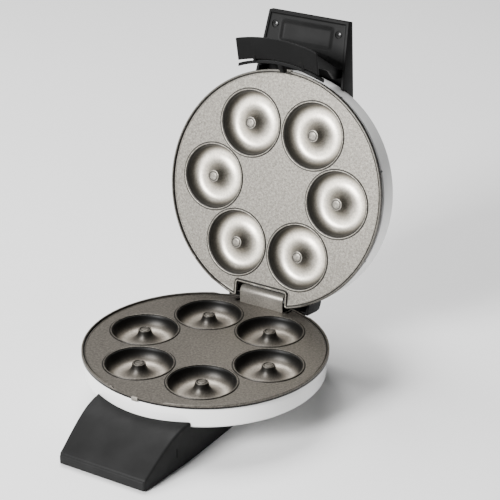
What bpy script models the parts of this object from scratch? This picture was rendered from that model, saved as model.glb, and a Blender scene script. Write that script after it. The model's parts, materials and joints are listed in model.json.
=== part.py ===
"""Six-ring donut maker: two hot plates hinged as a clamshell on a wedge stand.

Everything is first drawn in plate coordinates with the lid closed: X to the right,
Y to the hinge, Z up, with the origin at the plates' centre in the parting plane.
Empties then place the base, open the lid about its hinge and hang the latch.
"""
import math

import bmesh
import bpy
from mathutils import Matrix, Vector

MM = 0.001
GAP = 0.3 * MM

# Driving dimensions
PLATE_RADIUS = 115 * MM
PARTING_HEIGHT = 57 * MM        # parting plane above the table
CENTRE_SHIFT = 13.48 * MM       # plate centre in front of the middle of the open appliance
HINGE_Y = 105.2 * MM
HINGE_Z = 9.1 * MM
OPEN_ANGLE = math.radians(102.5)

# Plates
FACE_DEPTH = 2 * MM             # cooking face below the parting plane
PLATE_BACK = 4.2 * MM
RIM_TOP = 0.15 * MM
RIM_INNER_RADIUS = 113.6 * MM
CAVITY_COUNT = 6
CAVITY_RING_RADIUS = 68.2 * MM
CAVITY_RADIUS = 30.5 * MM
BEAD_RADIUS = 32.6 * MM
BEAD_HEIGHT = 0.4 * MM
NUB_RADIUS = 6.2 * MM
CAVITY_DEPTH = 12.7 * MM
BOWL_BACK = 16.8 * MM
POST_RADIUS = 3.4 * MM
POST_RING_RADIUS = 94 * MM
POST_ANGLES = [math.radians(angle) for angle in (60, 120, 240, 300)]
NOTCH_HALF_WIDTH = 27.3 * MM
LOWER_NOTCH_Y = 101.1 * MM
UPPER_NOTCH_Y = 96.4 * MM
REAR_RELIEF_Y = 103.5 * MM
REAR_RELIEF = 1.3 * MM
BEYOND_REAR = 130 * MM

# Casings
HOUSING_RADIUS = 113 * MM
HOUSING_TOP = -4.6 * MM
HOUSING_BOTTOM = -24.4 * MM
LID_RADIUS = 113.3 * MM
LID_EDGE = 10.7 * MM
LID_TOP = 31.3 * MM
WALL = 2.2 * MM
SWING_NOTCH_Y = 98 * MM         # room for the lid's hinge arms in both casings
LOWER_SWING_Z = -9 * MM
LID_SWING_Z = 23.5 * MM
REAR_LEAD_HOLE = (0, 88 * MM)
LEAD_HOLE_RADIUS = 6 * MM
HOUSING_SCREWS = [(x * MM, y * MM) for x in (30, -30) for y in (-55, 62)]
BAND_SCREWS = [(x * MM, y * MM) for x in (30, -30) for y in (-60, 60)]

# Hinge
KNUCKLE_RADIUS = 4 * MM
PIN_RADIUS = 1.9 * MM
PIN_HOLE_RADIUS = 2.15 * MM
PIN_HALF_LENGTH = 23.6 * MM
TOWER_HALF_WIDTH = 12.5 * MM
ARM_INNER_X = 12.9 * MM
ARM_OUTER_X = 22.9 * MM

# Stand, handle and latch
STAND_WALL = 2.5 * MM
STAND_BOTTOM = 1.4 * MM - PARTING_HEIGHT
STAND_REAR_Y = 127 * MM
INLET_Z = -42 * MM
COVER_SCREWS = [(x * MM, y * MM) for x in (36, -36) for y in (-110, 100)]
BAND_PLAN = [(42.9, -171.0), (43.3, -166.5), (48.9, -96.0), (45.0, 60.0), (45.0, 125.0)]
BAND_WALL = 2.5 * MM
LATCH_PIVOT = (-117.5 * MM, 36.5 * MM)
LATCH_ARM_INNER_X = 38.6 * MM
LATCH_ARM_OUTER_X = 41.9 * MM
HANDLE_SCREWS = [(x * MM, -153.6 * MM) for x in (-34.5, 34.5)]

# Fasteners
PILOT_RADIUS = 1.7 * MM
SHAFT_RADIUS = 1.4 * MM
HEAD_RADIUS = 3.1 * MM
SCREW_SEGMENTS = 10

ROUND_SEGMENTS = 48
CAVITY_SEGMENTS = 14
SMALL_SEGMENTS = 8

for old_object in list(bpy.data.objects):
    bpy.data.objects.remove(old_object, do_unlink=True)


# ---------------------------------------------------------------- mesh helpers

def finished(mesh_edit):
    """Turn a bmesh into a mesh whose faces point out."""
    bmesh.ops.recalc_face_normals(mesh_edit, faces=mesh_edit.faces)
    mesh = bpy.data.meshes.new("shape")
    mesh_edit.to_mesh(mesh)
    mesh_edit.free()
    return mesh


def loft(sections):
    """Skin a row of closed outlines that all have the same number of points."""
    mesh_edit = bmesh.new()
    rings = [[mesh_edit.verts.new(point) for point in section] for section in sections]
    for first, second in zip(rings, rings[1:]):
        for index in range(len(first)):
            follow = (index + 1) % len(first)
            mesh_edit.faces.new((first[index], first[follow], second[follow], second[index]))
    mesh_edit.faces.new(rings[0])
    mesh_edit.faces.new(rings[-1])
    return finished(mesh_edit)


def prism_x(outline, low, high):
    """Extrude a (y, z) outline between two X positions."""
    return loft([[(x, y, z) for y, z in outline] for x in (low, high)])


def prism_z(outline, low, high):
    """Extrude an (x, y) outline between two Z positions."""
    return loft([[(x, y, z) for x, y in outline] for z in (low, high)])


def box(x_range, y_range, z_range):
    """A rectangular block."""
    outline = [(y_range[0], z_range[0]), (y_range[1], z_range[0]),
               (y_range[1], z_range[1]), (y_range[0], z_range[1])]
    return prism_x(outline, *x_range)


def turned(profile, segments, centre=(0, 0), turn=0.0):
    """Turn an (r, z) outline about the Z axis through a centre; r = 0 closes it."""
    mesh_edit = bmesh.new()
    columns = []
    for step in range(segments):
        angle = 2 * math.pi * (step + turn) / segments
        columns.append([(centre[0] + r * math.sin(angle), centre[1] + r * math.cos(angle), z)
                        for r, z in profile])
    on_axis = {index: mesh_edit.verts.new((centre[0], centre[1], z))
               for index, (r, z) in enumerate(profile) if r == 0}
    grid = [[on_axis.get(index) or mesh_edit.verts.new(point)
             for index, point in enumerate(column)] for column in columns]
    for step in range(segments):
        left, right = grid[step], grid[(step + 1) % segments]
        for index in range(len(profile)):
            follow = (index + 1) % len(profile)
            corners = [left[index], left[follow], right[follow], right[index]]
            unique = list(dict.fromkeys(corners))
            if len(unique) > 2:
                mesh_edit.faces.new(unique)
    return finished(mesh_edit)


def rod(start, end, radius, segments=SMALL_SEGMENTS):
    """A plain cylinder between two points."""
    return tube([start, end], radius, segments)


def tube(points, radius, sides=8):
    """Sweep a circle along a smooth run of points."""
    points = [Vector(point) for point in points]
    sections = []
    side = None
    for index, point in enumerate(points):
        ahead = points[min(index + 1, len(points) - 1)]
        behind = points[max(index - 1, 0)]
        along = (ahead - behind).normalized()
        if side is None:
            side = along.orthogonal().normalized()
        side = (side - along * side.dot(along)).normalized()
        across = along.cross(side)
        angles = [2 * math.pi * step / sides for step in range(sides)]
        sections.append([point + radius * (math.cos(a) * side + math.sin(a) * across)
                         for a in angles])
    return loft(sections)


def joined(meshes):
    """Put separate shapes in one mesh."""
    mesh_edit = bmesh.new()
    for mesh in meshes:
        mesh_edit.from_mesh(mesh)
    result = bpy.data.meshes.new("shape")
    mesh_edit.to_mesh(result)
    mesh_edit.free()
    return result


def boolean(body_mesh, tool_mesh, operation):
    """Exact Boolean of two meshes."""
    body = bpy.data.objects.new("body", body_mesh)
    tool = bpy.data.objects.new("tool", tool_mesh)
    bpy.context.scene.collection.objects.link(body)
    bpy.context.scene.collection.objects.link(tool)
    change = body.modifiers.new("change", "BOOLEAN")
    change.operation = operation
    change.solver = "EXACT"
    change.object = tool
    evaluated = body.evaluated_get(bpy.context.evaluated_depsgraph_get())
    result = bpy.data.meshes.new_from_object(evaluated)
    bpy.data.objects.remove(body)
    bpy.data.objects.remove(tool)
    return result


def fused(body, *tools):
    """Union of a body with each tool."""
    for tool in tools:
        body = boolean(body, tool, "UNION")
    return body


def cut(body, *tools):
    """A body less each tool."""
    for tool in tools:
        body = boolean(body, tool, "DIFFERENCE")
    return body


def flipped(mesh):
    """Mirror a shape in the parting plane."""
    mesh_edit = bmesh.new()
    mesh_edit.from_mesh(mesh)
    bmesh.ops.transform(mesh_edit, matrix=Matrix.Diagonal((1, 1, -1, 1)), verts=mesh_edit.verts)
    bmesh.ops.reverse_faces(mesh_edit, faces=mesh_edit.faces)
    result = bpy.data.meshes.new("shape")
    mesh_edit.to_mesh(result)
    mesh_edit.free()
    return result


def arc(centre, radius, start, end, steps):
    """Points on a circle between two angles in degrees."""
    angles = [math.radians(start + (end - start) * step / steps) for step in range(steps + 1)]
    return [(centre[0] + radius * math.cos(a), centre[1] + radius * math.sin(a)) for a in angles]


def polar(radius, angle):
    """A point at an angle from the hinge direction."""
    return radius * math.sin(angle), radius * math.cos(angle)


def opened(y, z):
    """Where a point of the closed lid goes when the lid is fully open."""
    dy, dz = y - HINGE_Y, z - HINGE_Z
    cosine, sine = math.cos(OPEN_ANGLE), math.sin(OPEN_ANGLE)
    return HINGE_Y + dy * cosine + dz * sine, HINGE_Z - dy * sine + dz * cosine


# ------------------------------------------------------- materials and placing

def material(name, color, roughness, metallic=0.0):
    """A plain Principled material."""
    result = bpy.data.materials.new(name)
    result.use_nodes = True
    shader = result.node_tree.nodes["Principled BSDF"]
    shader.inputs["Base Color"].default_value = (*color, 1)
    shader.inputs["Roughness"].default_value = roughness
    shader.inputs["Metallic"].default_value = metallic
    return result


def empty(name, parent, location, tilt=0.0):
    """An empty that carries one body of the appliance."""
    result = bpy.data.objects.new(name, None)
    bpy.context.scene.collection.objects.link(result)
    result.parent = parent
    result.location = location
    result.rotation_euler = (tilt, 0, 0)
    return result


BASE_FRAME = empty("base_frame", None, (0, -CENTRE_SHIFT, PARTING_HEIGHT))
LID_AXIS = empty("lid_axis", BASE_FRAME, (0, HINGE_Y, HINGE_Z), -OPEN_ANGLE)
LATCH_AXIS = empty("latch_axis", LID_AXIS,
                   (0, LATCH_PIVOT[0] - HINGE_Y, LATCH_PIVOT[1] - HINGE_Z))
PLACES = {
    "base": (BASE_FRAME, (0, 0, 0)),
    "lid": (LID_AXIS, (0, -HINGE_Y, -HINGE_Z)),
    "latch": (LATCH_AXIS, (0, -LATCH_PIVOT[0], -LATCH_PIVOT[1])),
}


def place(name, body, mesh, color, roughness, metallic=0.0, smooth=True):
    """Add one named part, drawn in closed plate coordinates, to its body."""
    parent, location = PLACES[body]
    mesh.name = name
    mesh.materials.clear()
    mesh.materials.append(material(name, color, roughness, metallic))
    if smooth:
        mesh.shade_smooth()
        mesh.set_sharp_from_angle(angle=math.radians(35))
    part = bpy.data.objects.new(name, mesh)
    bpy.context.scene.collection.objects.link(part)
    part.parent = parent
    part.location = location
    return part


def place_each(name, body, meshes, *finish):
    """Add identical pieces as numbered parts."""
    for number, mesh in enumerate(meshes, 1):
        place(f"{name}_{number}", body, mesh, *finish)


# ----------------------------------------------------------------------- plates

def plate_disc():
    """The flat plate with its raised rim, without cavities."""
    profile = [(0, -FACE_DEPTH), (RIM_INNER_RADIUS - 0.3 * MM, -FACE_DEPTH),
               (RIM_INNER_RADIUS + 0.4 * MM, -RIM_TOP), (PLATE_RADIUS - 0.5 * MM, -RIM_TOP),
               (PLATE_RADIUS, -0.7 * MM), (PLATE_RADIUS, -PLATE_BACK), (0, -PLATE_BACK)]
    return turned(profile, ROUND_SEGMENTS)


def cavity_centres():
    """Centres of the ring cavities, the first pair either side of the hinge."""
    spacing = 2 * math.pi / CAVITY_COUNT
    return [polar(CAVITY_RING_RADIUS, spacing * (index + 0.5)) for index in range(CAVITY_COUNT)]


def bowl_solids():
    """Cast bowls with the raised bead round each mouth."""
    profile = [(0, BEAD_HEIGHT - FACE_DEPTH), (BEAD_RADIUS, BEAD_HEIGHT - FACE_DEPTH),
               (BEAD_RADIUS - 0.4 * MM, -9 * MM), (23 * MM, -BOWL_BACK),
               (0, -BOWL_BACK)]
    return joined([turned(profile, CAVITY_SEGMENTS, centre) for centre in cavity_centres()])


def cavity_cutters():
    """Half rings that leave a centre nub in each bowl."""
    middle = (CAVITY_RADIUS + NUB_RADIUS) / 2
    half_width = (CAVITY_RADIUS - NUB_RADIUS) / 2
    steps = 6
    profile = []
    for step in range(steps + 1):
        angle = math.pi * step / steps
        profile.append((middle + half_width * math.cos(angle),
                        -FACE_DEPTH - CAVITY_DEPTH * math.sin(angle)))
    profile += [(NUB_RADIUS - 0.05 * MM, 2 * MM), (CAVITY_RADIUS + 0.05 * MM, 2 * MM)]
    return joined([turned(profile, CAVITY_SEGMENTS, centre, 0.5) for centre in cavity_centres()])


def screw_posts():
    """Cast posts on the back of the plate, and the blind holes in them."""
    posts, holes = [], []
    for angle in POST_ANGLES:
        x, y = polar(POST_RING_RADIUS, angle)
        posts.append(rod((x, y, -3.5 * MM), (x, y, -8.7 * MM), POST_RADIUS))
        holes.append(rod((x, y, -4.9 * MM), (x, y, -10 * MM), PILOT_RADIUS))
    return joined(posts), joined(holes)


def rear_notch(start_y, low, high):
    """Cutter for the hinge notch at the rear of a plate or casing."""
    return box((-NOTCH_HALF_WIDTH, NOTCH_HALF_WIDTH), (start_y, BEYOND_REAR), (low, high))


def hot_plate(notch_y):
    """A complete cast plate, facing up, with its hinge notch cut from the rear."""
    posts, holes = screw_posts()
    notch = rear_notch(notch_y, -9 * MM, 5 * MM)
    relief = box((-PLATE_RADIUS, PLATE_RADIUS), (REAR_RELIEF_Y, BEYOND_REAR),
                 (-REAR_RELIEF, 5 * MM))
    plate = fused(plate_disc(), bowl_solids(), posts)
    return cut(plate, cavity_cutters(), notch, relief, holes)


def splash_tab():
    """Upright tab at the rear of the lower plate, curled over the hinge barrel."""
    axis = (HINGE_Y, HINGE_Z)
    outer, inner = 5.9 * MM, 4.5 * MM
    outline = [(HINGE_Y - outer, -3 * MM)]
    outline += arc(axis, outer, 180, 75, 7)
    outline += arc(axis, inner, 75, 180, 7)
    outline.append((HINGE_Y - inner, -3 * MM))
    return prism_x(outline, -24 * MM, 24 * MM)


def front_lug():
    """Small lug on the front of a plate, which the latch hooks."""
    return box((-3.25 * MM, 3.25 * MM), (-115.8 * MM, -113.4 * MM), (-5.2 * MM, -1 * MM))


place("lower_plate", "base", fused(hot_plate(LOWER_NOTCH_Y), splash_tab(), front_lug()),
      (0.12, 0.11, 0.1), 0.42, 0.6)
place("upper_plate", "lid", flipped(fused(hot_plate(UPPER_NOTCH_Y), front_lug())),
      (0.42, 0.39, 0.35), 0.4, 0.6)


# --------------------------------------------------------- heating and its backs

def heating_tube():
    """C shaped tubular element with its cold ends turned away from the plate."""
    ring, level = 104.3 * MM, -7.8 * MM
    start, end, steps = math.radians(24), math.radians(336), 30
    points = []
    for step in range(steps + 1):
        x, y = polar(ring, start + (end - start) * step / steps)
        points.append((x, y, level))
    points.insert(0, (points[0][0] - 3.5 * MM, points[0][1] - 0.5 * MM, level - 2 * MM))
    points.insert(0, (points[0][0] - 1.5 * MM, points[0][1] - 0.5 * MM, level - 6 * MM))
    points.append((points[-1][0] + 3.5 * MM, points[-1][1] - 0.5 * MM, level - 2 * MM))
    points.append((points[-1][0] + 1.5 * MM, points[-1][1] - 0.5 * MM, level - 6 * MM))
    return tube(points, 3.1 * MM, 6)


def reflector():
    """Shallow steel dish behind the element."""
    profile = [(0, -18.3 * MM), (106 * MM, -18.3 * MM), (107.5 * MM, -16 * MM),
               (107.5 * MM, -12.5 * MM), (108.3 * MM, -12.5 * MM), (108.3 * MM, -16.5 * MM),
               (106.6 * MM, -19 * MM), (0, -19 * MM)]
    holes = [rod((*polar(POST_RING_RADIUS, angle), -10 * MM),
                 (*polar(POST_RING_RADIUS, angle), -30 * MM), 5.2 * MM) for angle in POST_ANGLES]
    holes.append(rod((*REAR_LEAD_HOLE, -10 * MM), (*REAR_LEAD_HOLE, -30 * MM), 5.5 * MM))
    holes.append(rod((0, 0, -10 * MM), (0, 0, -30 * MM), LEAD_HOLE_RADIUS))
    notch = rear_notch(SWING_NOTCH_Y, -30 * MM, 0)
    return cut(turned(profile, 32), joined(holes), notch)


def thermal_fuse():
    """Axial thermal fuse clipped under the plate's centre."""
    return rod((10 * MM, -14 * MM, -6.6 * MM), (22 * MM, -14 * MM, -6.6 * MM), 2 * MM, 10)


THERMOSTAT_PROFILE = [(0, -4.6 * MM), (8 * MM, -4.6 * MM), (8 * MM, -10 * MM),
                      (5 * MM, -10 * MM), (5 * MM, -12.4 * MM), (0, -12.4 * MM)]
STEEL = (0.55, 0.55, 0.54)
for prefix, body, side in (("lower", "base", lambda mesh: mesh), ("upper", "lid", flipped)):
    place(prefix + "_heating_element", body, side(heating_tube()), (0.2, 0.2, 0.2), 0.5, 0.8)
    place(prefix + "_reflector", body, side(reflector()), STEEL, 0.3, 1.0)
    place(prefix + "_thermal_fuse", body, side(thermal_fuse()), (0.6, 0.58, 0.5), 0.4, 0.5)
    place(prefix + "_thermostat", body, side(turned(THERMOSTAT_PROFILE, 12)),
          (0.05, 0.05, 0.05), 0.5)


# ---------------------------------------------------------------------- casings

def boss_set(low, high, outer, shoulder):
    """Four screw bosses below a plate, and their bores, wide up to a shoulder."""
    bosses, bores = [], []
    for angle in POST_ANGLES:
        x, y = polar(POST_RING_RADIUS, angle)
        bosses.append(rod((x, y, low + 1 * MM), (x, y, high), outer))
        bores.append(rod((x, y, low - 2 * MM), (x, y, shoulder), 3.1 * MM))
        bores.append(rod((x, y, shoulder - 1 * MM), (x, y, high + 2 * MM), PILOT_RADIUS))
    return joined(bosses), bores


def plate_screw_set():
    """Screws that hold a plate, with their heads deep in the bosses."""
    screws = []
    for angle in POST_ANGLES:
        x, y = polar(POST_RING_RADIUS, angle)
        profile = [(0, -5.2 * MM), (SHAFT_RADIUS, -5.2 * MM), (SHAFT_RADIUS, -12.6 * MM),
                   (2.7 * MM, -12.6 * MM), (2.7 * MM, -14.4 * MM), (0, -14.4 * MM)]
        screws.append(turned(profile, SCREW_SEGMENTS, (x, y)))
    return screws


def lower_casing():
    """White lower shell with bosses, cable hole and the slot for the hinge tower."""
    top, bottom, fillet = HOUSING_TOP, HOUSING_BOTTOM, 3 * MM
    outside = [(HOUSING_RADIUS, top)]
    outside += arc((HOUSING_RADIUS - fillet, bottom + fillet), fillet, 0, -90, 3)
    inner = HOUSING_RADIUS - WALL
    inside = [(inner, top), (inner, bottom + fillet), (inner - 1 * MM, bottom + WALL)]
    profile = outside + [(0, bottom), (0, bottom + WALL)] + inside[::-1]
    bosses, bores = boss_set(bottom, -9 * MM, 4.6 * MM, -12.3 * MM)
    slot = box((-ARM_INNER_X, ARM_INNER_X), (LOWER_NOTCH_Y, BEYOND_REAR), (-40 * MM, 5 * MM))
    swing = rear_notch(SWING_NOTCH_Y, LOWER_SWING_Z, 5 * MM)
    holes = [rod((*REAR_LEAD_HOLE, -40 * MM), (*REAR_LEAD_HOLE, -20 * MM), LEAD_HOLE_RADIUS)]
    for x, y in HOUSING_SCREWS:
        holes.append(rod((x, y, -40 * MM), (x, y, -20 * MM), 1.9 * MM))
    shell = fused(turned(profile, ROUND_SEGMENTS), bosses)
    return cut(shell, joined(bores[0::2]), joined(bores[1::2]), slot, swing, joined(holes))


def lid_casing():
    """White lid shell with bosses and the rear notch for the hinge arms."""
    fillet = 3 * MM
    outside = [(LID_RADIUS, LID_EDGE)]
    outside += arc((LID_RADIUS - fillet, LID_TOP - fillet), fillet, 0, 90, 3)
    inner = LID_RADIUS - WALL
    inside = [(inner, LID_EDGE), (inner, LID_TOP - fillet), (inner - 1 * MM, LID_TOP - WALL)]
    profile = outside + [(0, LID_TOP), (0, LID_TOP - WALL)] + inside[::-1]
    bosses, bores = boss_set(-LID_TOP, -9 * MM, 4.6 * MM, -12.3 * MM)
    notch = rear_notch(SWING_NOTCH_Y, 0, LID_SWING_Z)
    holes = [rod((x, y, 20 * MM), (x, y, 40 * MM), 1.9 * MM) for x, y in BAND_SCREWS]
    holes.append(rod((0, 30 * MM, 20 * MM), (0, 30 * MM, 40 * MM), LEAD_HOLE_RADIUS))
    shell = fused(turned(profile, ROUND_SEGMENTS), flipped(bosses))
    wide = flipped(joined(bores[0::2]))
    narrow = flipped(joined(bores[1::2]))
    return cut(shell, wide, narrow, notch, joined(holes))


def bezel_ring():
    """Dark carrier ring that fills the reveal under the lid shell's edge."""
    profile = [(110.3 * MM, 4.6 * MM), (110.3 * MM, 15 * MM), (108.9 * MM, 15 * MM),
               (108.9 * MM, 4.6 * MM)]
    notch = rear_notch(SWING_NOTCH_Y, 0, LID_SWING_Z)
    return cut(turned(profile, ROUND_SEGMENTS), notch)


WHITE = (0.85, 0.85, 0.84)
BLACK = (0.025, 0.025, 0.026)
place("lower_housing", "base", lower_casing(), WHITE, 0.25)
place("lid_housing", "lid", lid_casing(), WHITE, 0.25)
place("lid_bezel_ring", "lid", bezel_ring(), BLACK, 0.5)
place_each("lower_plate_screw", "base", plate_screw_set(), STEEL, 0.3, 1.0)
place_each("upper_plate_screw", "lid", [flipped(screw) for screw in plate_screw_set()],
           STEEL, 0.3, 1.0)


# ------------------------------------------------------------------------ stand

# Stations of the stand: (y, half width, top height), lip first
STAND_STATIONS = [(-167.6, 45.4, -46.7), (-161.0, 45.9, -43.1), (-149.5, 46.7, -35.7),
                  (-134.6, 47.8, -27.1), (-120.8, 48.8, -21.2), (-103.5, 49.9, -18.1),
                  (-80.0, 50.2, -17.5), (0.0, 50.2, -26.0), (STAND_REAR_Y / MM, 50.2, -26.0)]


def stand_outline(y, half_width, top, bottom, chamfer):
    """Section across the stand at one station."""
    return [(-half_width, y, bottom), (-half_width, y, top - chamfer),
            (-half_width + chamfer, y, top), (half_width - chamfer, y, top),
            (half_width, y, top - chamfer), (half_width, y, bottom)]


def stand_block(inset, bottom):
    """The stand's solid outer form, or its inner space when inset by the wall."""
    sections = []
    last = len(STAND_STATIONS) - 1
    for index, (y, half_width, top) in enumerate(STAND_STATIONS):
        shift = inset if index == 0 else (-inset if index == last else 0)
        sections.append(stand_outline(y * MM + shift, half_width * MM - inset, top * MM - inset,
                                      bottom, 1.2 * MM))
    seat = rod((0, 0, HOUSING_BOTTOM - GAP - inset), (0, 0, 20 * MM),
               HOUSING_RADIUS + GAP + inset, ROUND_SEGMENTS)
    return cut(loft(sections), seat)


def stop_pad():
    """Rear pad that the lid's band leans on when fully open."""
    low_y, low_z = opened(117.8 * MM, 19 * MM)
    high_y, high_z = opened(116.7 * MM, 36.5 * MM)
    slope = (high_z - low_z) / (high_y - low_y)

    def pad_top(y):
        return low_z + slope * (y - low_y) - GAP

    front, rear = 113.9 * MM, 126.5 * MM
    outline = [(front, -28 * MM), (rear, -28 * MM), (rear, pad_top(rear)), (front, pad_top(front))]
    return prism_x(outline, -30 * MM, 30 * MM)


def hinge_tower():
    """Upright behind the splash tab that carries the centre knuckle."""
    outline = [(101.6 * MM, -28 * MM), (101.6 * MM, 7 * MM)]
    outline += arc((HINGE_Y, HINGE_Z), KNUCKLE_RADIUS, 180, 0, 8)
    outline += [(109.2 * MM, 1 * MM), (111.4 * MM, -8 * MM), (111.4 * MM, -28 * MM)]
    return prism_x(outline, -TOWER_HALF_WIDTH, TOWER_HALF_WIDTH)


def hinge_bore():
    """Hole for the hinge pin through all the knuckles."""
    return rod((-40 * MM, HINGE_Y, HINGE_Z), (40 * MM, HINGE_Y, HINGE_Z), PIN_HOLE_RADIUS, 16)


def stand():
    """Hollow wedge stand with bosses, stop pad and hinge tower."""
    shell = cut(stand_block(0, STAND_BOTTOM), stand_block(STAND_WALL, STAND_BOTTOM - 5 * MM))
    top_bosses = [rod((x, y, -26.5 * MM), (x, y, -38 * MM), 4 * MM) for x, y in HOUSING_SCREWS]
    cover_bosses = [rod((x, y, -26.5 * MM), (x, y, -53.2 * MM), 3.8 * MM) for x, y in COVER_SCREWS]
    bores = [rod((x, y, -20 * MM), (x, y, -37 * MM), PILOT_RADIUS) for x, y in HOUSING_SCREWS]
    bores += [rod((x, y, -44 * MM), (x, y, -56 * MM), PILOT_RADIUS) for x, y in COVER_SCREWS]
    bores.append(rod((*REAR_LEAD_HOLE, -40 * MM), (*REAR_LEAD_HOLE, -20 * MM), LEAD_HOLE_RADIUS))
    bores.append(rod((0, 120 * MM, INLET_Z), (0, BEYOND_REAR, INLET_Z), 5.4 * MM, 16))
    body = fused(shell, joined(top_bosses + cover_bosses), stop_pad(), hinge_tower())
    return cut(body, joined(bores), hinge_bore())


def bottom_cover():
    """Flat cover inside the stand's lower edge."""
    clearance = STAND_WALL + 0.4 * MM
    rows = [(y * MM, half_width * MM - clearance) for y, half_width, _ in STAND_STATIONS]
    rows[0] = (rows[0][0] + clearance, rows[0][1])
    rows[-1] = (rows[-1][0] - clearance, rows[-1][1])
    outline = [(x, y) for y, x in rows] + [(-x, y) for y, x in reversed(rows)]
    plate = prism_z(outline, STAND_BOTTOM, STAND_BOTTOM + 2 * MM)
    wide = [rod((x, y, -60 * MM), (x, y, STAND_BOTTOM + 1.1 * MM), 3.5 * MM)
            for x, y in COVER_SCREWS]
    narrow = [rod((x, y, -60 * MM), (x, y, -50 * MM), PILOT_RADIUS) for x, y in COVER_SCREWS]
    return cut(plate, joined(wide), joined(narrow))


def headed_screws(places, top, neck, tip, head_radius=HEAD_RADIUS):
    """Identical screws, each from its head's top to its neck and its tip."""
    profile = [(0, tip), (SHAFT_RADIUS, tip), (SHAFT_RADIUS, neck), (head_radius, neck),
               (head_radius, top), (0, top)]
    return [turned(profile, SCREW_SEGMENTS, centre) for centre in places]


def cord_gland():
    """Inlet sleeve in the stand's rear wall."""
    profile = [(3.2 * MM, -5 * MM), (5 * MM, -5 * MM), (5 * MM, 0.2 * MM), (7 * MM, 0.2 * MM),
               (6.4 * MM, 1.8 * MM), (4.4 * MM, 2.6 * MM), (3.2 * MM, 2.6 * MM)]
    sleeve = turned(profile, 16)
    seat = Matrix.Translation((0, STAND_REAR_Y + 0.1 * MM, INLET_Z))
    sleeve.transform(seat @ Matrix.Rotation(-math.pi / 2, 4, "X"))
    return sleeve


FOOT_PLACES = [(x * MM, y * MM) for x in (-33, 33) for y in (-150, 114)]
FOOT_PROFILE = [(0, STAND_BOTTOM - GAP), (6 * MM, STAND_BOTTOM - GAP), (6 * MM, -56.6 * MM),
                (5.4 * MM, -PARTING_HEIGHT), (0, -PARTING_HEIGHT)]
place("base_stand", "base", stand(), BLACK, 0.45)
place("stand_bottom_cover", "base", bottom_cover(), BLACK, 0.55)
place_each("stand_cover_screw", "base",
           headed_screws(COVER_SCREWS, STAND_BOTTOM + 0.2 * MM, STAND_BOTTOM + 0.9 * MM, -46 * MM),
           STEEL, 0.3, 1.0)
place_each("housing_screw", "base",
           headed_screws(HOUSING_SCREWS, -20.3 * MM, -21.9 * MM, -36 * MM), STEEL, 0.3, 1.0)
place_each("rubber_foot", "base", [turned(FOOT_PROFILE, 12, spot) for spot in FOOT_PLACES],
           (0.03, 0.03, 0.03), 0.9)
place("cord_gland", "base", cord_gland(), BLACK, 0.6)
place("terminal_block", "base", box((-12 * MM, 12 * MM), (73 * MM, 87 * MM), (-53 * MM, -41 * MM)),
      (0.8, 0.78, 0.7), 0.4, smooth=False)


# ------------------------------------------------------------------------ hinge

place("hinge_pin", "base",
      rod((-PIN_HALF_LENGTH, HINGE_Y, HINGE_Z), (PIN_HALF_LENGTH, HINGE_Y, HINGE_Z),
          PIN_RADIUS, 16),
      STEEL, 0.25, 1.0)


def retaining_ring(side):
    """Split ring snapped on one end of the hinge pin, outside the lid arm."""
    start, end, steps = 35, 325, 14
    radii = (2.05 * MM, 3.6 * MM)
    thickness = 0.4 * MM
    outline = arc((HINGE_Y, HINGE_Z), radii[0], start, end, steps)
    outline += arc((HINGE_Y, HINGE_Z), radii[1], end, start, steps)
    near = side * (ARM_OUTER_X + 0.15 * MM)
    return prism_x(outline, near, near + side * thickness)


place_each("hinge_clip", "base", [retaining_ring(-1), retaining_ring(1)], STEEL, 0.3, 1.0)


# --------------------------------------------------- band, handle cover, lamps

BAND_TOP = [(-167.1, 35.6), (-151.8, 38.0), (-124.2, 42.4), (-96.1, 46.7), (109.2, 44.5),
            (114.9, 42.9), (116.7, 36.5), (117.8, 19.0)]
BAND_INSIDE = [(-164.3, 30.0), (-164.3, 33.5), (-151.4, 35.5), (-124.0, 39.9), (-95.9, 44.2),
               (108.8, 42.0), (113.2, 40.8), (114.4, 36.0), (115.2, 10.0)]
LID_SEAT_RADIUS = LID_RADIUS + GAP
LAMPS = [(-10 * MM, -62 * MM), (10 * MM, -62 * MM)]


def scaled(points):
    """Outline points given in millimetres."""
    return [(first * MM, second * MM) for first, second in points]


def band_plan(inset):
    """Block with the band's outline seen from above, drawn in by an inset."""
    right = [(x * MM - inset, y * MM) for x, y in BAND_PLAN]
    return prism_z(right + [(-x, y) for x, y in reversed(right)], -20 * MM, 80 * MM)


def hinge_arm(side):
    """Web from the band's rear wall down to a lid knuckle."""
    outline = arc((HINGE_Y, HINGE_Z), KNUCKLE_RADIUS, 40, 310, 12)
    outline += scaled([(117.2, 19.3), (116.6, 22.8), (113.6, 22.8)])
    return prism_x(outline, side * ARM_INNER_X, side * ARM_OUTER_X)


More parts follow.
